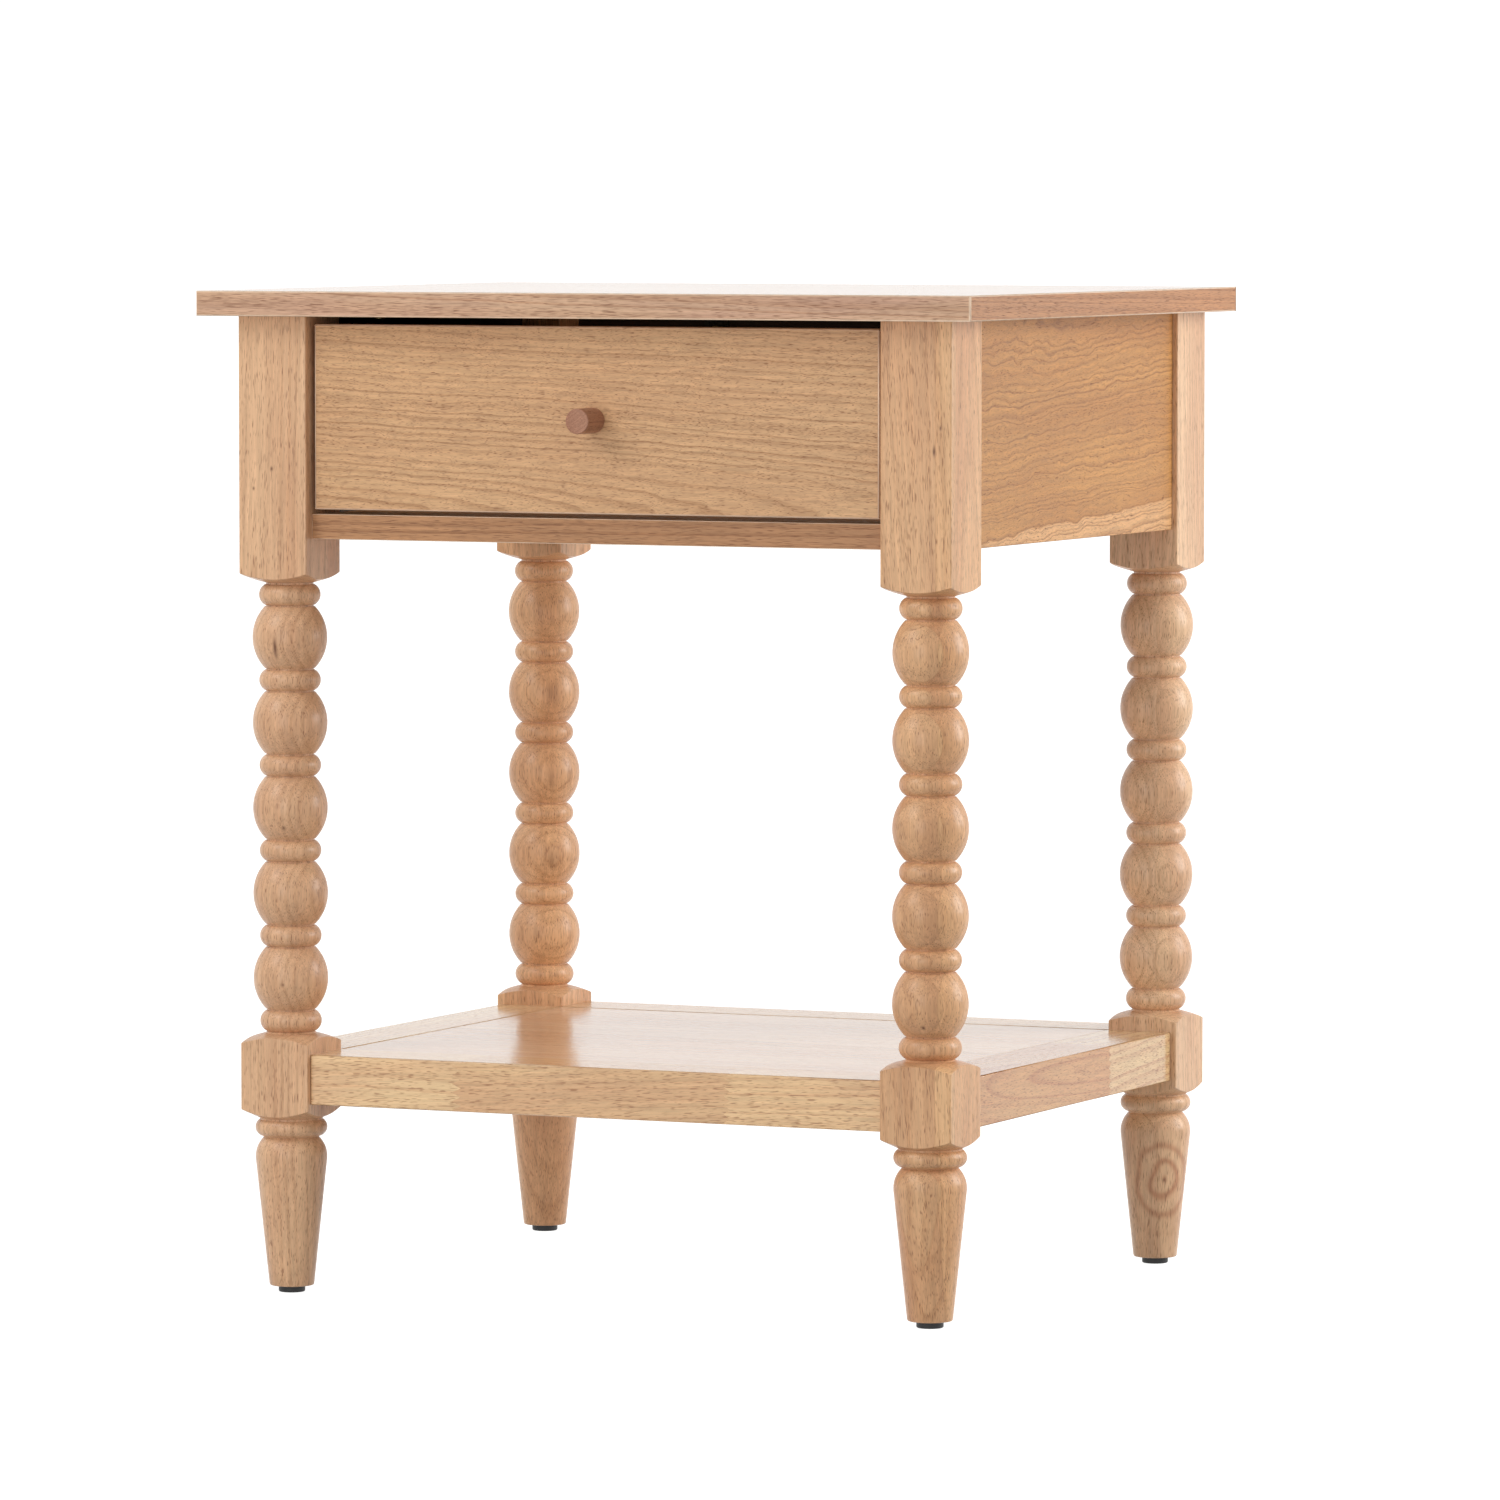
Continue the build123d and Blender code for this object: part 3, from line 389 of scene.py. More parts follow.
def glued_lengths(tree, place, here, joints):
    """The grain's place, moved beyond each joint, with each joint's far side and tint, and the
    glue lines. A finger joint's line is a zigzag in height."""
    apart = add(tree, "ShaderNodeSeparateXYZ", {0: here}).outputs
    sides, glue = [], 0.0
    for axis, where, shift, tint, finger in joints:
        zigzag = calc(tree, "PINGPONG", calc(tree, "MULTIPLY", apart["Z"], FINGERS_PER_METRE), 1.0)
        edge = calc(tree, "MULTIPLY_ADD", zigzag, -finger, calc(tree, "SUBTRACT", apart[axis], where))
        beyond = calc(tree, "GREATER_THAN", edge, 0.0)
        place = vcalc(tree, "ADD", place, resized(tree, shift, beyond))
        line = ramp(tree, calc(tree, "ABSOLUTE", edge), 0.0005, 0.0001)
        glue = calc(tree, "MAXIMUM", glue, line)
        sides.append((beyond, tint))
    return place, sides, glue


def knot_marks(tree, here, knots):
    """How far the knots push the rings out, and how dark they are: each knot's nearness times
    its lift, and to the fourth power times its darkness."""
    lift, dark = 0.0, 0.0
    for spot, reach, raise_by, darkness in knots:
        inputs = {"Vector": here, "Place": spot, "Reach": reach}
        near = add(tree, "ShaderNodeGroup", inputs, node_tree=KNOT).outputs[0]
        lift = calc(tree, "MULTIPLY_ADD", near, raise_by, lift)
        dark = calc(tree, "MULTIPLY_ADD", calc(tree, "POWER", near, 4.0), darkness, dark)
    return lift, dark


def branch_rings(tree, here, spot, step, reach):
    """A branch's own soft rings, a squared cosine of the distance from its heart, and the share
    that is left of the trunk's rings round it."""
    warp = resized(tree, noise(tree, here, 1.0, 60.0).outputs["Color"], BRANCH_WARP)
    offset = vcalc(tree, "SUBTRACT", vcalc(tree, "ADD", here, warp), spot)
    offset = vcalc(tree, "SUBTRACT", offset, (BRANCH_WARP / 2,) * 3)
    away = length_of(tree, vcalc(tree, "MULTIPLY", offset, (1.0, 1.0, 0.75)))
    wave = calc(tree, "COSINE", calc(tree, "MULTIPLY", away, 2 * math.pi / step))
    wave = calc(tree, "POWER", calc(tree, "MULTIPLY_ADD", wave, 0.5, 0.5), 2.0)
    rings = calc(tree, "MULTIPLY", wave, ramp(tree, away, reach, 0.4 * reach))
    return rings, ramp(tree, away, 0.3 * reach, reach)


def wood_material(name, centre, grain, pith, tones, rings, pores, tilt=(0, 0, 0), gloss=0.42,
                  ring_share=0.5, pore_share=0.5, joints=(), knots=(), sap=None, swirl=None,
                  ior=1.4, relief=0.5):
    """A lacquered timber: early and late wood, pores, fibre and slow clouds of colour.

    tones are pale, late, pore and cloud colours; rings is (width, sway, ripple); pores is
    (width, length, cover). Each joint is (axis, place, shift, tint, finger): beyond the place
    the wood is another length or stave. Each knot is (place, reach, lift, dark). sap is
    (depth, colour) for the paler wood that far from the pith. swirl is (place, step, reach)
    for the soft rings of a branch, step apart, that push the trunk's rings aside."""
    material, tree = empty_material(name)
    here = object_place(tree)
    place = timber_place(tree, centre, grain, pith, tilt)
    place, sides, glue = glued_lengths(tree, place, here, joints)
    lift, dark = knot_marks(tree, here, knots)
    values = {
        "Vector": place,
        "Ring Width": rings[0],
        "Sway": rings[1],
        "Ripple": rings[2],
        "Pore Width": pores[0],
        "Pore Length": pores[1],
        "Pore Cover": pores[2],
        "Lift": lift,
    }
    out = add(tree, "ShaderNodeGroup", values, node_tree=TIMBER).outputs
    pale, late, pore, cloud = tones
    colour = blend(tree, ramp(tree, out["Cloud"], 0.32, 0.68), pale, cloud)
    if sap:
        colour = blend(tree, ramp(tree, out["Depth"], sap[0], sap[0] + SAP_EDGE), colour, sap[1])
    late_share = calc(tree, "MULTIPLY", out["Rings"], ring_share)
    if swirl:
        branch, left = branch_rings(tree, here, *swirl)
        late_share = calc(tree, "MULTIPLY", late_share, left)
    colour = blend(tree, late_share, colour, late)
    if swirl:
        colour = blend(tree, calc(tree, "MULTIPLY", branch, 0.65), colour, BRANCH_TONE)
    fibre = calc(tree, "MULTIPLY_ADD", out["Fibre"], 1.0, 0.5)
    fibre = add(tree, "ShaderNodeCombineColor", {0: fibre, 1: fibre, 2: fibre}).outputs[0]
    colour = blend(tree, 1.0, colour, fibre, "MULTIPLY")
    for beyond, tint in sides:
        colour = blend(tree, beyond, colour, blend(tree, 1.0, colour, tint, "MULTIPLY"))
    if joints:
        colour = blend(tree, calc(tree, "MULTIPLY", glue, 0.3), colour, late)
    if knots:
        colour = blend(tree, dark, colour, KNOT_TONE)
    colour = blend(tree, calc(tree, "MULTIPLY", out["Pores"], pore_share), colour, pore)
    rough = calc(tree, "MULTIPLY_ADD", out["Fibre"], 0.12, gloss - 0.06)
    rough = calc(tree, "MULTIPLY_ADD", out["Pores"], 0.12, rough)
    height = calc(tree, "MULTIPLY_ADD", out["Pores"], -1.0, calc(tree, "MULTIPLY", out["Fibre"], 0.35))
    bump = add(tree, "ShaderNodeBump", {"Height": height, "Distance": 0.00012, "Strength": relief})
    settings = {"Base Color": colour, "Roughness": rough, "Normal": bump.outputs[0], "IOR": ior}
    close_material(tree, settings)
    return material


LEG_RINGS = (0.0046, 0.010, 0.0012)
LEG_PORES = (0.00040, 0.0050, 0.60)
BRANCHED_LEG = "leg_back_right"
BRANCH_STEP = 0.0085
BRANCH_REACH = 0.030
LEG_TONES = (tone(223, 178, 135), tone(188, 139, 98), tone(128, 81, 53), tone(207, 158, 118))
# Each leg's first entry scales its tones: painted light and shade, matched to how the light falls on that
# leg, the back right leg lightened most as if lit from behind on the right.
LEGS = {
    "leg_front_left": (
        (0.95, 0.98, 1.04, 1),
        (0.016, 0.012, 0.0), (0.015, -0.02, 0.0),
        [("Y", 0.006, (0.05, 0.02, 0.3), (1.0, 0.97, 0.95, 1))],
        [((-0.0002, -0.0225, 0.4942), (0.0016, 0.008, 0.0024), 0.0008, 0.9),
         ((-0.0123, -0.0225, 0.4824), (0.0015, 0.008, 0.0022), 0.0008, 0.8),
         ((0.0012, -0.0207, 0.3881), (0.0024, 0.008, 0.0120), 0.0010, 1.0),
         ((0.0053, -0.0187, 0.2800), (0.0022, 0.008, 0.0024), 0.0012, 0.8),
         ((0.0055, -0.0215, 0.1863), (0.0018, 0.008, 0.0022), 0.0018, 0.7)],
    ),
    "leg_front_right": (
        (0.94, 0.92, 0.89, 1),
        (-0.002, 0.003, 0.1), (-0.02, 0.05, 0.0),
        [("Y", -0.0165, (0.03, -0.04, 0.2), (1.03, 1.0, 0.99, 1)),
         ("X", 0.0125, (-0.04, 0.03, 0.6), (1.10, 1.13, 1.10, 1))],
        [((0.0116, -0.0225, 0.5100), (0.0018, 0.008, 0.0050), 0.0012, 0.9),
         ((0.0157, -0.0225, 0.5235), (0.0015, 0.008, 0.0030), 0.0010, 0.8),
         ((0.0038, -0.0181, 0.1766), (0.0022, 0.008, 0.0022), 0.0030, 1.0),
         ((-0.0020, -0.0225, 0.1330), (0.0016, 0.008, 0.0060), 0.0020, 0.3)],
    ),
    "leg_back_left": (
        (1.02, 1.0, 0.98, 1),
        (0.016, -0.018, 0.4), (0.03, 0.03, 0.0),
        [("Y", 0.006, (0.03, 0.05, 0.5), (0.98, 0.93, 0.88, 1))],
        [((0.013, -0.0144, 0.3420), (0.0042, 0.010, 0.0110), 0.002, 0.60),
         ((0.013, -0.0144, 0.2890), (0.0042, 0.010, 0.0120), 0.002, 0.55),
         ((0.013, -0.0144, 0.2370), (0.0048, 0.010, 0.0120), 0.002, 0.65)],
    ),
    "leg_back_right": (
        (1.09, 1.21, 1.36, 1),
        (-0.026, -0.012, 0.7), (-0.04, -0.02, 0.0),
        [("X", 0.008, (-0.02, 0.06, 0.4), (1.0, 0.98, 0.95, 1))],
        [((0.0116, -0.0142, 0.0530), (0.0022, 0.0022, 0.0026), 0.0, 0.6)],
    ),
}


def put(piece, body, slot, *nodes):
    """Rides a finished piece on its body and hides the parts it stands for. slot, its finish, is not used.
    """
    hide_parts(*nodes)
    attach(piece, body)


angle = crowded_angles(AROUND)
radius, height = leg_surface(angle)
for name, (shade, pith, tilt, staves, marks) in LEGS.items():
    low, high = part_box(name)
    centre = (low + high) / 2
    joints = [
        (axis, inset + centre["XY".index(axis)], shift, tint, 0.0) for axis, inset, shift, tint in staves
    ]
    knots = [(Vector(spot) + Vector((centre.x, centre.y, 0)), *rest) for spot, *rest in marks]
    # Painted light: the leg's tones scaled by its own brightness factor.
    tones = [tuple(a * b for a, b in zip(colour, shade)) for colour in LEG_TONES]
    swirl = (knots[0][0], BRANCH_STEP, BRANCH_REACH) if name == BRANCHED_LEG else None
    material = wood_material(
        f"{name}_hardwood", centre, "Z", pith, tones, LEG_RINGS, LEG_PORES, tilt, gloss=0.32,
        ring_share=0.45, pore_share=0.65, joints=joints, knots=knots, swirl=swirl,
    )
    rings = np.stack((centre.x + radius * np.cos(angle), centre.y + radius * np.sin(angle), height), -1)
    leg = closed_surface(name.replace("leg_", "turned_leg_"), rings, material)
    put(leg, "frame", "turned_wood", name)

# --- Shelf rails ---
# Four rails of the same hardwood, finger-jointed from shorter lengths, doweled between the lower
# leg blocks. Their long edges are sanded round.

CORNER_BITS = np.array([[i >> 2 & 1, i >> 1 & 1, i & 1] for i in range(8)])
BOX_FACES = [(0, 1, 3, 2), (4, 6, 7, 5), (0, 4, 5, 1), (2, 3, 7, 6), (0, 2, 6, 4), (1, 5, 7, 3)]


def board(name, low, high, material, eased=(), ease=0.4 * MM, arris_highlight=None, shade_sheet_face=None, shade_sheet=None):
    """A sawn board between two corners. The edges round the faces named in eased, such as
    "-Y", are sanded to a radius, and the sanded strip may carry a material of its own, a pale
    painted highlight. One face may carry a dark sheet of painted shade."""
    low, high = np.array(low), np.array(high)
    mesh = bpy.data.meshes.new(name)
    mesh.from_pydata((low + CORNER_BITS * (high - low)).tolist(), [], BOX_FACES)
    ends = np.zeros(len(mesh.edges) * 2, int)
    mesh.edges.foreach_get("vertices", ends)
    bits = CORNER_BITS[ends.reshape(-1, 2)]
    weight = np.zeros(len(mesh.edges))
    for face in eased:
        axis, side = "XYZ".index(face[1]), int(face[0] == "+")
        weight[(bits[:, :, axis] == side).all(axis=1)] = 1.0
    mesh.attributes.new("bevel_weight_edge", "FLOAT", "EDGE").data.foreach_set("value", weight)
    mesh.attributes.new("sharp_edge", "BOOLEAN", "EDGE").data.foreach_set("value", weight == 0)
    mesh.polygons.foreach_set("use_smooth", np.ones(len(mesh.polygons), bool))
    mesh.materials.append(material)
    piece = new_object(name, mesh)
    # The named face takes the dark sheet of painted shade.
    if shade_sheet_face:
        mesh.materials.append(shade_sheet)
        side = 2 * "XYZ".index(shade_sheet_face[1]) + int(shade_sheet_face[0] == "+")
        mesh.polygons[side].material_index = 1
    sanding = piece.modifiers.new("sanding", "BEVEL")
    sanding.width = ease
    sanding.segments = 3
    sanding.limit_method = "WEIGHT"
    sanding.harden_normals = True
    # The sanded strip may take the pale painted-highlight material.
    if arris_highlight:
        mesh.materials.append(arris_highlight)
        sanding.material = 1
    return piece


RAIL_TONES = (tone(233, 199, 151), tone(206, 161, 118), tone(154, 106, 72), tone(223, 182, 138))
RAIL_RINGS = (0.005, 0.010, 0.001)
RAIL_PORES = (0.00042, 0.0050, 0.72)
RAIL_EASE = 0.8 * MM
RIGHT_RAIL_TONES = (tone(210, 161, 108), tone(183, 123, 81), tone(139, 85, 50), tone(202, 147, 99))
RAILS = {
    "shelf_rail_front": (
        "X", (0.04, 0.09, 0.3), (0.03, 0.05, 0.0),
        [("X", -0.092, (0.07, -0.06, 0.3), (0.93, 0.88, 0.86, 1), 0.006),
         ("X", 0.085, (-0.05, 0.03, 0.2), (1.06, 1.07, 1.08, 1), 0.004)],
        [((-0.1745, -0.1863, 0.1195), (0.006, 0.003, 0.004), 0.004, 0.0)],
    ),
    "shelf_rail_back": ("X", (0.03, 0.04, 0.9), (0.03, -0.03, 0.0), [], []),
    "shelf_rail_left": ("Y", (0.04, 0.03, 0.1), (-0.02, 0.03, 0.0), [], []),
    # Beyond the joint the right rail's far length is tinted much paler and cooler, lighter towards the
    # back.
    "shelf_rail_right": (
        "Y", (-0.018, 0.004, 0.6), (0.03, -0.09, 0.0),
        [("Y", 0.060, (0.06, -0.05, 0.2), (1.14, 1.44, 1.76, 1), 0.003)], [],
    ),
}
for name, (grain, pith, tilt, joints, knots) in RAILS.items():
    low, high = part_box(name)
    tones, ring_share = (RIGHT_RAIL_TONES, 0.8) if name == "shelf_rail_right" else (RAIL_TONES, 0.6)
    material = wood_material(
        f"{name}_hardwood", (low + high) / 2, grain, pith, tones, RAIL_RINGS, RAIL_PORES, tilt,
        gloss=0.14, ring_share=ring_share, pore_share=0.72, ior=1.5, relief=0.15,
        joints=joints, knots=knots,
    )
    ends = ("-Y", "+Y") if grain == "X" else ("-X", "+X")
    rail = board(name.replace("rail", "stretcher"), low, high, material, ends, RAIL_EASE)
    put(rail, "frame", "turned_wood", name)

# --- Shelf panel ---
# An oak-veneered panel tongued into the rails and all but flush with them, with a thin shadow
# line all round. Its satin lacquer mirrors the legs at a low angle.

SHELF_GAP = 0.3 * MM
PANEL_RAISED = 0.8 * MM
PANEL_EASE = 0.6 * MM
OAK_RINGS = (0.0075, 0.016, 0.0035)
OAK_PORES = (0.00028, 0.0045, 0.62)
OAK_TONES = (tone(229, 193, 158), tone(189, 147, 111), tone(142, 102, 74), tone(218, 176, 140))


def oak(name, centre, grain, pith, rings=OAK_RINGS, pores=OAK_PORES, tilt=(0, 0, 0),
        tones=OAK_TONES, **more):
    """Lacquered natural oak veneer."""
    return wood_material(name, centre, grain, pith, tones, rings, pores, tilt, **more)


low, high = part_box("shelf_panel")
inner_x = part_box("shelf_rail_right")[0].x - SHELF_GAP
inner_y = (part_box("shelf_rail_front")[1].y + SHELF_GAP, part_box("shelf_rail_back")[0].y - SHELF_GAP)
panel_mid = Vector((0.0, sum(inner_y) / 2, high.z))
low = (-inner_x, inner_y[0], low.z)
high = (inner_x, inner_y[1], high.z + PANEL_RAISED)
shelf_oak = oak("shelf_oak", panel_mid, "X", (0.05, 0.02, 0.2), gloss=0.13, ior=1.55, relief=0.08)
panel = board("shelf_board", low, high, shelf_oak, ("+Z",), PANEL_EASE)
put(panel, "frame", "oak_veneer", "shelf_panel")

# --- Aprons ---
# Veneered boards doweled between the upper leg blocks, set back from the legs' faces, with the
# grain level and a lively rippled figure. A dark sheet of painted shade covers their inner faces,
# standing for the shadow inside the frame.

APRON_TONES = (tone(194, 138, 73), tone(159, 103, 47), tone(121, 74, 31), tone(183, 126, 65))
APRON_SAP = (0.1295, tone(216, 164, 110))
APRON_RINGS = (0.0040, 0.022, 0.0085)
APRON_EASE = 0.5 * MM
# Painted shade: a near-black sheet on the aprons' inner faces, for the shadow seen in the gap above the
# drawer.
PAINTED_SHADE_SHEET, tree = empty_material("painted_shade_sheet")
speckle = noise(tree, object_place(tree), 3.0, 600.0).outputs[0]
shade = blend(tree, speckle, tone(38, 30, 27), tone(56, 45, 40))
close_material(tree, {"Base Color": shade, "Roughness": 0.7})
APRONS = {
    "apron_left": ("Y", (0.09, 0.03, 0.3), (0.04, 0.03, 0.0), ("-X",), "+X"),
    "apron_right": ("Y", (0.02, 0.072, 0.5), (-0.075, 0.0, 0.0), ("+X",), "-X"),
    "apron_back": ("X", (0.07, 0.05, 0.1), (0.04, 0.03, 0.0), ("+Y",), "-Y"),
}
for name, (grain, pith, tilt, faces, inside) in APRONS.items():
    low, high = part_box(name)
    material = oak(
        f"{name}_oak", (low + high) / 2, grain, pith, APRON_RINGS, tilt=tilt, tones=APRON_TONES,
        ring_share=1.0, pore_share=0.85, sap=APRON_SAP if name == "apron_right" else None,
    )
    sawn = board(f"{name}_board", low, high, material, faces, APRON_EASE, shade_sheet_face=inside, shade_sheet=PAINTED_SHADE_SHEET)
    put(sawn, "frame", "oak_veneer", name)

# --- Front rail ---
# A board laid flat under the drawer between the front legs, its front edge covered by a strip of
# darker straight-grained oak.

EDGE_TONES = (tone(205, 167, 135), tone(171, 126, 93), tone(128, 87, 61), tone(196, 155, 129))
EDGE_RINGS = (0.0035, 0.006, 0.0008)
EDGE_PORES = (0.00024, 0.007, 0.75)
RAIL_EDGE_TONES = (tone(179, 131, 91), tone(148, 101, 65), tone(110, 68, 43), tone(168, 122, 84))


def edge_oak(name, centre, grain, pith, tones=EDGE_TONES, **more):
    """Straight-grained oak edging with long fine pores."""
    return oak(name, centre, grain, pith, EDGE_RINGS, EDGE_PORES, tones=tones, ring_share=0.75,
               pore_share=0.8, **more)


# Painted highlight: the sanded arrises are coloured pale, almost white, for the white floor and surround
# mirrored in them, in slightly darker patches.
ARRIS_HIGHLIGHT_TONE = tone(232, 202, 172)
DIM_ARRIS_HIGHLIGHT_TONE = tuple(0.82 * part for part in ARRIS_HIGHLIGHT_TONE[:3]) + (1,)
ARRIS_HIGHLIGHT, tree = empty_material("painted_highlight_edge")
highlight_patches = noise(tree, object_place(tree), 3.0, 160.0).outputs[0]
shade = blend(tree, ramp(tree, highlight_patches, 0.35, 0.7), ARRIS_HIGHLIGHT_TONE, DIM_ARRIS_HIGHLIGHT_TONE)
close_material(tree, {"Base Color": shade, "Roughness": 0.36})
low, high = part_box("front_rail")
rail_oak = oak("front_rail_oak", (low + high) / 2, "X", (0.05, 0.04, 0.4))
put(board("front_rail_board", low, high, rail_oak), "frame", "oak_veneer", "front_rail")
low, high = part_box("front_rail_edging")
strip_oak = edge_oak("front_rail_edge_oak", (low + high) / 2, "X", (0.03, 0.04, 0.1), RAIL_EDGE_TONES)
# The strip's front arrises carry the pale painted highlight.
strip = board("front_rail_strip", low, high, strip_oak, ("-Y",), arris_highlight=ARRIS_HIGHLIGHT)
put(strip, "frame", "oak_edging", "front_rail_edging")

# --- Table top ---
# A 15 mm veneered board with oak edging strips glued round it. The strips' sanded arrises carry
# a painted highlight, a pale line for the white floor mirrored in them, and the strips meet in a
# hairline at each corner.

low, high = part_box("top_board")
top_oak = oak("top_oak", (low + high) / 2, "X", (0.06, 0.02, 0.7), gloss=0.10, ior=1.55, relief=0.08)
put(board("top_panel", low, high, top_oak), "frame", "oak_veneer", "top_board")
TOP_EASE = 0.8 * MM
RIGHT_EDGE_TONES = (tone(189, 133, 88), tone(156, 100, 59), tone(117, 69, 36), tone(181, 128, 84))
TOP_EDGES = {"front": ("X", "-Y"), "back": ("X", "+Y"), "left": ("Y", "-X"), "right": ("Y", "+X")}
for number, (side, (grain, face)) in enumerate(TOP_EDGES.items()):
    low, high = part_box(f"top_edging_{side}")
    tones = RIGHT_EDGE_TONES if side == "right" else EDGE_TONES
    pith = (0.03, 0.05, 0.3 * number)
    edge = edge_oak(f"top_{side}_edge_oak", (low + high) / 2, grain, pith, tones, tilt=(0.02, 0, 0))
    strip = board(f"top_{side}_strip", low, high, edge, (face,), TOP_EASE, ARRIS_HIGHLIGHT)
    put(strip, "frame", "oak_edging", f"top_edging_{side}")

# --- Drawer front ---
# An inset veneered front with even gaps round it and eased edging, whose arrises carry a pale
# painted highlight, fixed to the box behind by dowels. Its figure runs level with long lazy waves.

low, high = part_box("drawer_front")
DRAWER_TONES = (tone(206, 164, 121), tone(172, 128, 88), tone(129, 84, 54), tone(202, 158, 116))
DRAWER_RINGS = (0.0044, 0.014, 0.003)
DRAWER_EASE = 0.7 * MM
EDGING_PITH = (0.04, 0.05, 0.2)
front_oak = oak("drawer_front_oak", (low + high) / 2, "X", (-0.064, 0.040, 0.25), DRAWER_RINGS,
                tilt=(-0.09, 0.0, 0.0), tones=DRAWER_TONES, ring_share=0.85, pore_share=0.75)
put(board("drawer_face", low, high, front_oak), "drawer", "oak_veneer", "drawer_front")
# The bottom and end strips' arrises carry the pale painted highlight.
for side, face, arris_highlight in (("bottom", "-Z", ARRIS_HIGHLIGHT), ("top", "+Z", None)):
    low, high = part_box(f"drawer_edging_{side}")
    edge = edge_oak(f"drawer_{side}_edge_oak", (low + high) / 2, "X", EDGING_PITH)
    strip = board(f"drawer_{side}_strip", low, high, edge, (face,), DRAWER_EASE, arris_highlight)
    put(strip, "drawer", "oak_edging", f"drawer_edging_{side}")
ends_low, ends_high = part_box("drawer_edging_ends")
face_low, face_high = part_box("drawer_front")
DRAWER_ENDS = {
    "left": (ends_low.x, face_low.x, "-X"),
    "right": (face_high.x, ends_high.x, "+X"),
}
for side, (start, stop, face) in DRAWER_ENDS.items():
    low = (start, ends_low.y, ends_low.z)
    high = (stop, ends_high.y, ends_high.z)
    edge = edge_oak(f"drawer_{side}_edge_oak", low, "Z", EDGING_PITH)
    strip = board(f"drawer_{side}_strip", low, high, edge, (face,), DRAWER_EASE, ARRIS_HIGHLIGHT)
    put(strip, "drawer", "oak_edging", "drawer_edging_ends")

# --- Knob ---
# A plain length of reddish dowel, its end lightly rounded, screwed on from inside the drawer.

low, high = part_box("knob")
knob_radius = (high.x - low.x) / 2
knob_mid = (low + high) / 2
KNOB_TONES = (tone(180, 134, 107), tone(142, 95, 73), tone(97, 60, 42), tone(164, 115, 89))
KNOB_EASE = 0.8 * MM
KNOB_BEND = 0.23 * MM
ROUND_STEPS = 72
knob_rim = (
    (knob_radius, low.y + KNOB_EASE),
    (knob_radius - KNOB_BEND, low.y + KNOB_BEND),
    (knob_radius - KNOB_EASE, low.y),
)
knob_end = [[knob_radius / 2, low.y]]
knob_profile = np.concatenate(([[knob_radius, high.y]], arc_through(*knob_rim, 6), knob_end))
turn = np.linspace(0.0, 2.0 * np.pi, ROUND_STEPS, endpoint=False)
rings = np.stack((
    knob_mid.x + knob_profile[:, :1] * np.cos(turn),
    knob_profile[:, 1:] + 0.0 * turn,
    knob_mid.z + knob_profile[:, :1] * np.sin(turn),
), -1)
knob_wood = wood_material("knob_hardwood", knob_mid, "Y", (0.02, 0.03, 0.1), KNOB_TONES,
                          (0.0022, 0.002, 0.0003), (0.0003, 0.003, 0.75), gloss=0.42)
put(closed_surface("round_knob", rings, knob_wood), "drawer", "knob_wood", "knob")

# --- Glides ---
# Black moulded discs nailed under the feet, with a rounded lower rim.

plastic, tree = empty_material("glide_black_plastic")
speckle = noise(tree, object_place(tree), 4.0, 900.0).outputs[0]
shade = blend(tree, speckle, tone(4, 4, 4), tone(12, 12, 12))
bump = add(tree, "ShaderNodeBump", {"Height": speckle, "Distance": 0.00005, "Strength": 0.4})
close_material(tree, {"Base Color": shade, "Roughness": 0.5, "Normal": bump.outputs[0]})
GLIDE_RADIUS = 8.0 * MM
GLIDE_RIM = 1.0 * MM
GLIDE_BEND = 0.3 * MM
glide_rim = arc_through(
    (GLIDE_RADIUS - GLIDE_RIM, 0.0), (GLIDE_RADIUS - GLIDE_BEND, GLIDE_BEND), (GLIDE_RADIUS, GLIDE_RIM), 6
)
for name in LEGS:
    low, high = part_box(name)
    centre = (low + high) / 2
    profile = np.concatenate(([[GLIDE_RADIUS / 2, 0.0]], glide_rim, [[GLIDE_RADIUS, low.z]]))
    rings = np.stack((
        centre.x + profile[:, :1] * np.cos(turn),
        centre.y + profile[:, :1] * np.sin(turn),
        profile[:, 1:] + 0.0 * turn,
    ), -1)
    glide = closed_surface(name.replace("leg", "glide"), rings, plastic)
    put(glide, "frame", "glide_plastic", "foot_glides")

# --- Inside: drawer box, battens and dowels ---
# The drawer's sides and back are sealed birch plywood and its bottom is hardboard; softwood
# battens carry the slides, and beech dowels pin the joints.

BIRCH_TONES = (tone(222, 192, 150), tone(204, 168, 124), tone(176, 136, 96), tone(214, 182, 140))
HARDBOARD_TONES = (tone(176, 140, 104), tone(164, 126, 92), tone(140, 104, 74), tone(170, 132, 98))
SOFTWOOD_TONES = (tone(226, 190, 140), tone(198, 148, 96), tone(180, 130, 86), tone(220, 180, 130))
BEECH_TONES = (tone(224, 190, 150), tone(206, 166, 124), tone(160, 112, 76), tone(216, 180, 138))
BOX_WOODS = {
    "drawer_side_left": ("Y", BIRCH_TONES),
    "drawer_side_right": ("Y", BIRCH_TONES),
    "drawer_back": ("X", BIRCH_TONES),
    "drawer_bottom": ("X", HARDBOARD_TONES),
    "slide_batten_left": ("Y", SOFTWOOD_TONES),
    "slide_batten_right": ("Y", SOFTWOOD_TONES),
}


def finish_node(name, material):
    """Gives a hidden piece, drawn as it was designed, its material."""
    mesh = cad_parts[name].data
    mesh.materials.clear()
    mesh.materials.append(material)


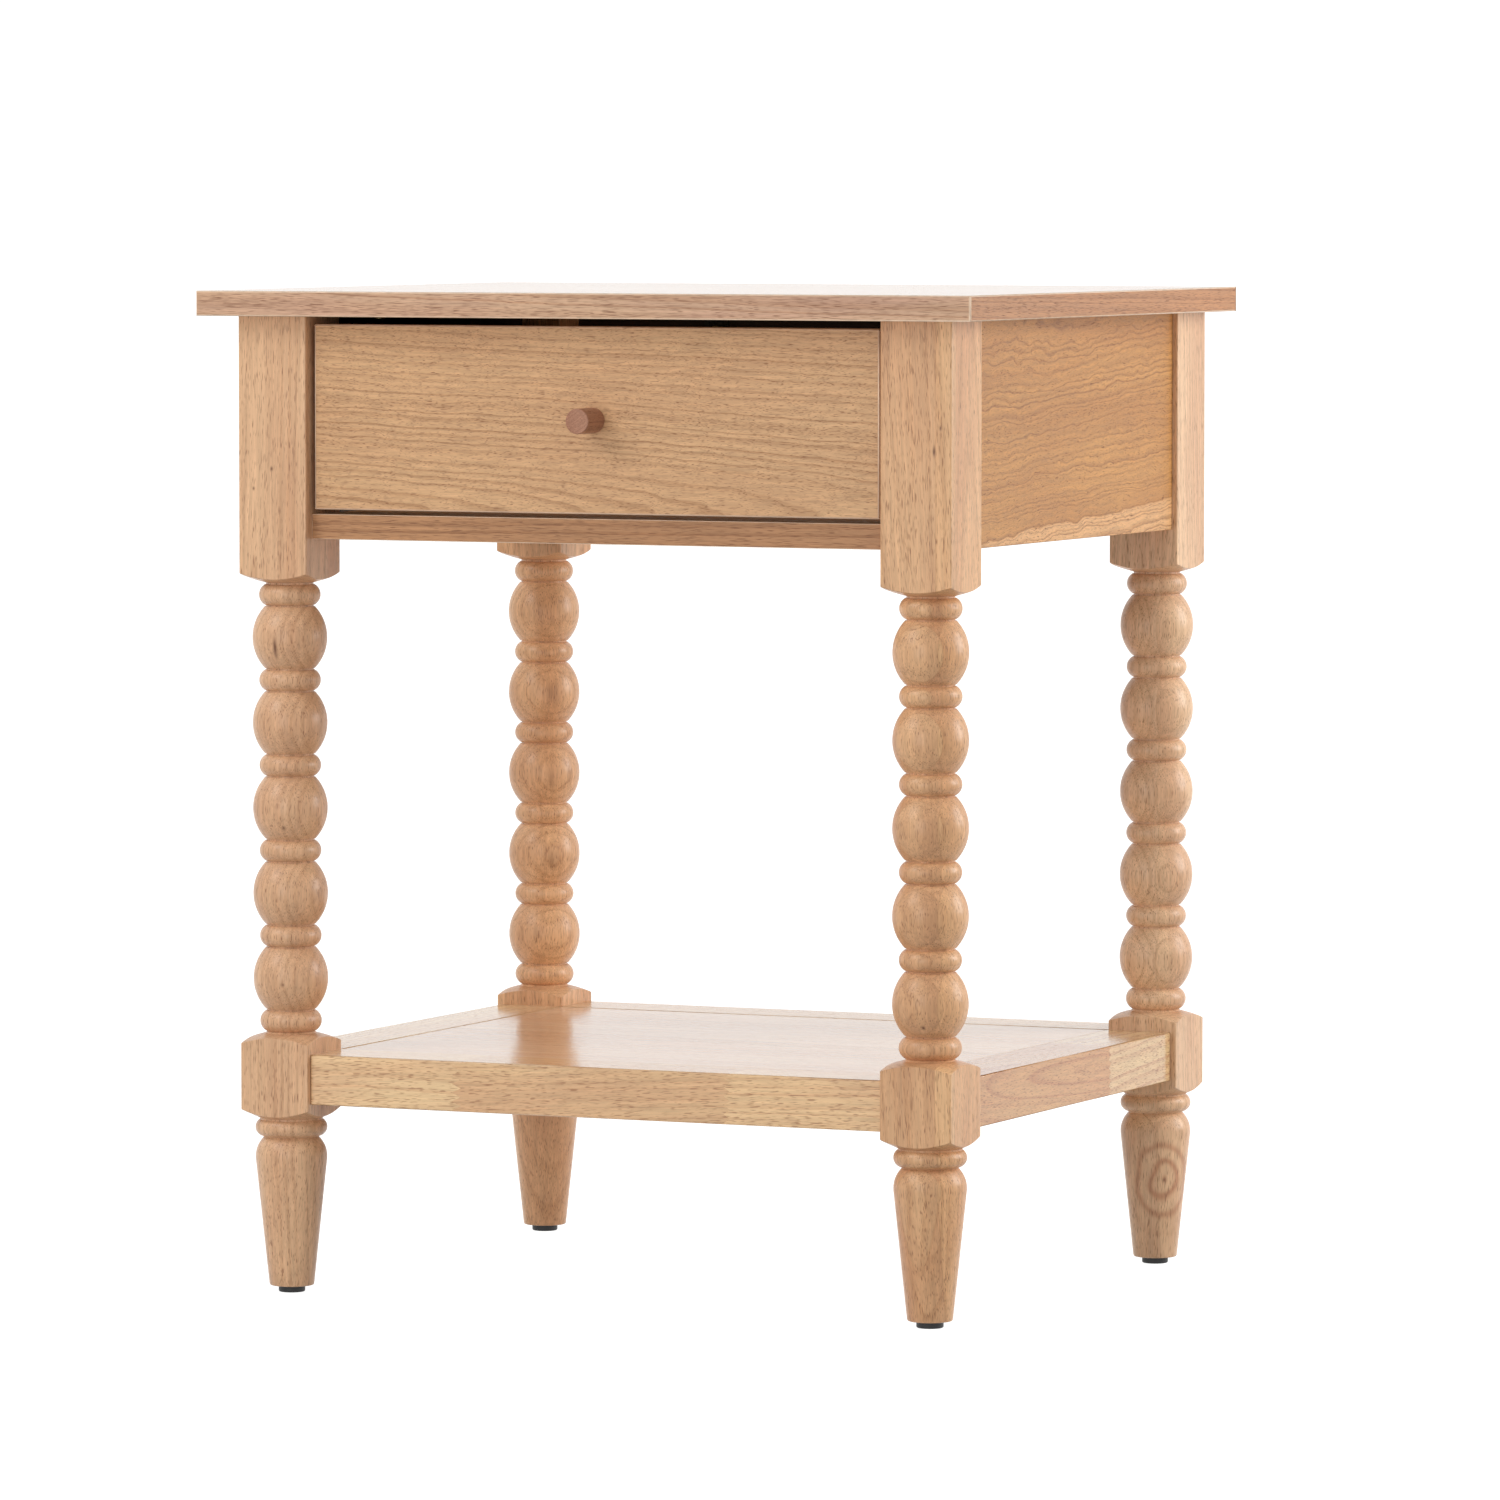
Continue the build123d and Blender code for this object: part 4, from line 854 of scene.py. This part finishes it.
for number, (name, (grain, tones)) in enumerate(BOX_WOODS.items()):
    low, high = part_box(name)
    material = wood_material(
        f"{name}_wood", (low + high) / 2, grain, (0.07, 0.05, 0.2 * number), tones,
        (0.009, 0.02, 0.002), (0.0003, 0.003, 0.3), gloss=0.5, ring_share=0.3, pore_share=0.25,
    )
    finish_node(name, material)
beech = wood_material("dowel_beech", (0, 0, 0), "Z", (0.05, 0.05, 0.0), BEECH_TONES,
                      (0.004, 0.004, 0.0005), (0.0003, 0.002, 0.6), gloss=0.6)
for name in ("apron_dowels", "front_rail_dowels", "shelf_dowels", "top_dowels", "drawer_dowels"):
    finish_node(name, beech)

# --- Steel: slides, brackets and screws ---
# The slides are rolled from bright zinc-plated strip, drawn along their length, and their balls
# are polished. The brackets are dark grey, painted shade for the dark gap they show in, and the
# screws and nails are yellow zinc.


def steel(name, pale, dark, rough, stretch):
    """Plated steel with fine drawing lines along one axis and slow clouds in the plating."""
    material, tree = empty_material(name)
    place = object_place(tree)
    lines = noise(tree, vcalc(tree, "MULTIPLY", place, stretch), 3.0, 1.0, 0.6).outputs[0]
    cloud = noise(tree, place, 2.0, 30.0).outputs[0]
    colour = blend(tree, ramp(tree, lines, 0.3, 0.7), pale, dark)
    colour = blend(tree, ramp(tree, cloud, 0.4, 0.8), colour, dark)
    shine = calc(tree, "MULTIPLY_ADD", lines, 0.15, rough)
    bump = add(tree, "ShaderNodeBump", {"Height": lines, "Distance": 0.00002, "Strength": 0.4})
    settings = {"Base Color": colour, "Roughness": shine, "Metallic": 1.0, "Normal": bump.outputs[0]}
    close_material(tree, settings)
    return material


screw_zinc = steel("screw_yellow_zinc", tone(206, 190, 140), tone(168, 150, 104), 0.32, (1500,) * 3)
STEELS = {
    "member": steel("slide_steel_plate", tone(206, 208, 212), tone(172, 176, 182), 0.28, (2500, 40, 2500)),
    "cage": steel("cage_steel_plate", tone(196, 190, 170), tone(160, 152, 130), 0.35, (2500, 40, 2500)),
    "balls": steel("ball_steel", tone(214, 216, 220), tone(190, 192, 196), 0.08, (900,) * 3),
    "brackets": steel("bracket_steel_plate", tone(86, 84, 82), tone(60, 58, 57), 0.42, (900,) * 3),
    "screw": screw_zinc,
    "screws": screw_zinc,
    "nails": screw_zinc,
}
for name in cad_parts:
    ending = name.split("_")[-1]
    if ending in STEELS:
        finish_node(name, STEELS[ending])

# --- Studio ---
# A white sweep of floor under an even white surround, with a soft lamp at the upper left, one low
# in front, and a stronger one at the right and behind that brightens the edges.

WHITE = (1.0, 1.0, 1.0, 1.0)
FLOOR_GREY = (0.30, 0.30, 0.30, 1.0)
FLOOR_SEEN = 0.95
FLOOR_HALF = 60.0
SURROUND_LIGHT = 0.62
SURROUND_SEEN = 1.08
LAMPS = {
    "key_lamp": ((-1.0, -1.45, 1.55), (0.0, 0.0, 0.4), 0.9, 11.0),
    "front_lamp": ((-0.1, -1.9, 0.50), (0.0, 0.0, 0.42), 0.9, 6.5),
    "right_lamp": ((1.7, 0.9, 0.85), (0.0, 0.0, 0.4), 1.0, 22.0),
}


def backdrop_glow(tree, lit, seen):
    """Strength of a white backdrop: softer on what it lights than where it's seen or mirrored."""
    scattered = add(tree, "ShaderNodeLightPath").outputs["Is Diffuse Ray"]
    return calc(tree, "MULTIPLY_ADD", scattered, lit - seen, seen)


floor_material = bpy.data.materials.new("floor_white")
floor_material.use_nodes = True
tree = floor_material.node_tree
floor_shader = tree.nodes["Principled BSDF"].inputs
floor_shader["Base Color"].default_value = FLOOR_GREY
floor_shader["Roughness"].default_value = 0.9
floor_shader["Emission Color"].default_value = WHITE
tree.links.new(backdrop_glow(tree, 0.0, FLOOR_SEEN), floor_shader["Emission Strength"])
floor_corners = [(x * FLOOR_HALF, y * FLOOR_HALF, 0.0) for x, y in ((-1, -1), (1, -1), (1, 1), (-1, 1))]
floor_mesh = bpy.data.meshes.new("floor")
floor_mesh.from_pydata(floor_corners, [], [(0, 1, 2, 3)])
floor_mesh.materials.append(floor_material)
floor = new_object("floor", floor_mesh)

world = bpy.data.worlds.new("white_surround")
world.use_nodes = True
tree = world.node_tree
surround = tree.nodes["Background"].inputs
surround["Color"].default_value = WHITE
tree.links.new(backdrop_glow(tree, SURROUND_LIGHT, SURROUND_SEEN), surround["Strength"])
bpy.context.scene.world = world
for name, (place, aim, size, power) in LAMPS.items():
    light = bpy.data.lights.new(name, "AREA")
    light.size = size
    light.energy = power
    lamp = new_object(name, light)
    lamp.location = place
    lamp.rotation_euler = (Vector(place) - Vector(aim)).to_track_quat("Z", "Y").to_euler()
bpy.context.scene.view_settings.view_transform = "Standard"

# --- Camera ---
# Five and a half metres away, a little above the top, on a long lens.

CAMERA_PLACE = Vector((2.3265, -5.0674, 0.6785))
CAMERA_YAW = 0.4276
CAMERA_PITCH = -0.064
SENSOR = 36.0
LENS = 221.66
camera_data = bpy.data.cameras.new("studio_camera")
camera_data.sensor_width = SENSOR
camera_data.lens = LENS
camera_data.clip_end = 100.0
camera = new_object("studio_camera", camera_data)
camera.location = CAMERA_PLACE
camera.rotation_euler = (math.pi / 2 + CAMERA_PITCH, 0.0, CAMERA_YAW)
bpy.context.scene.camera = camera
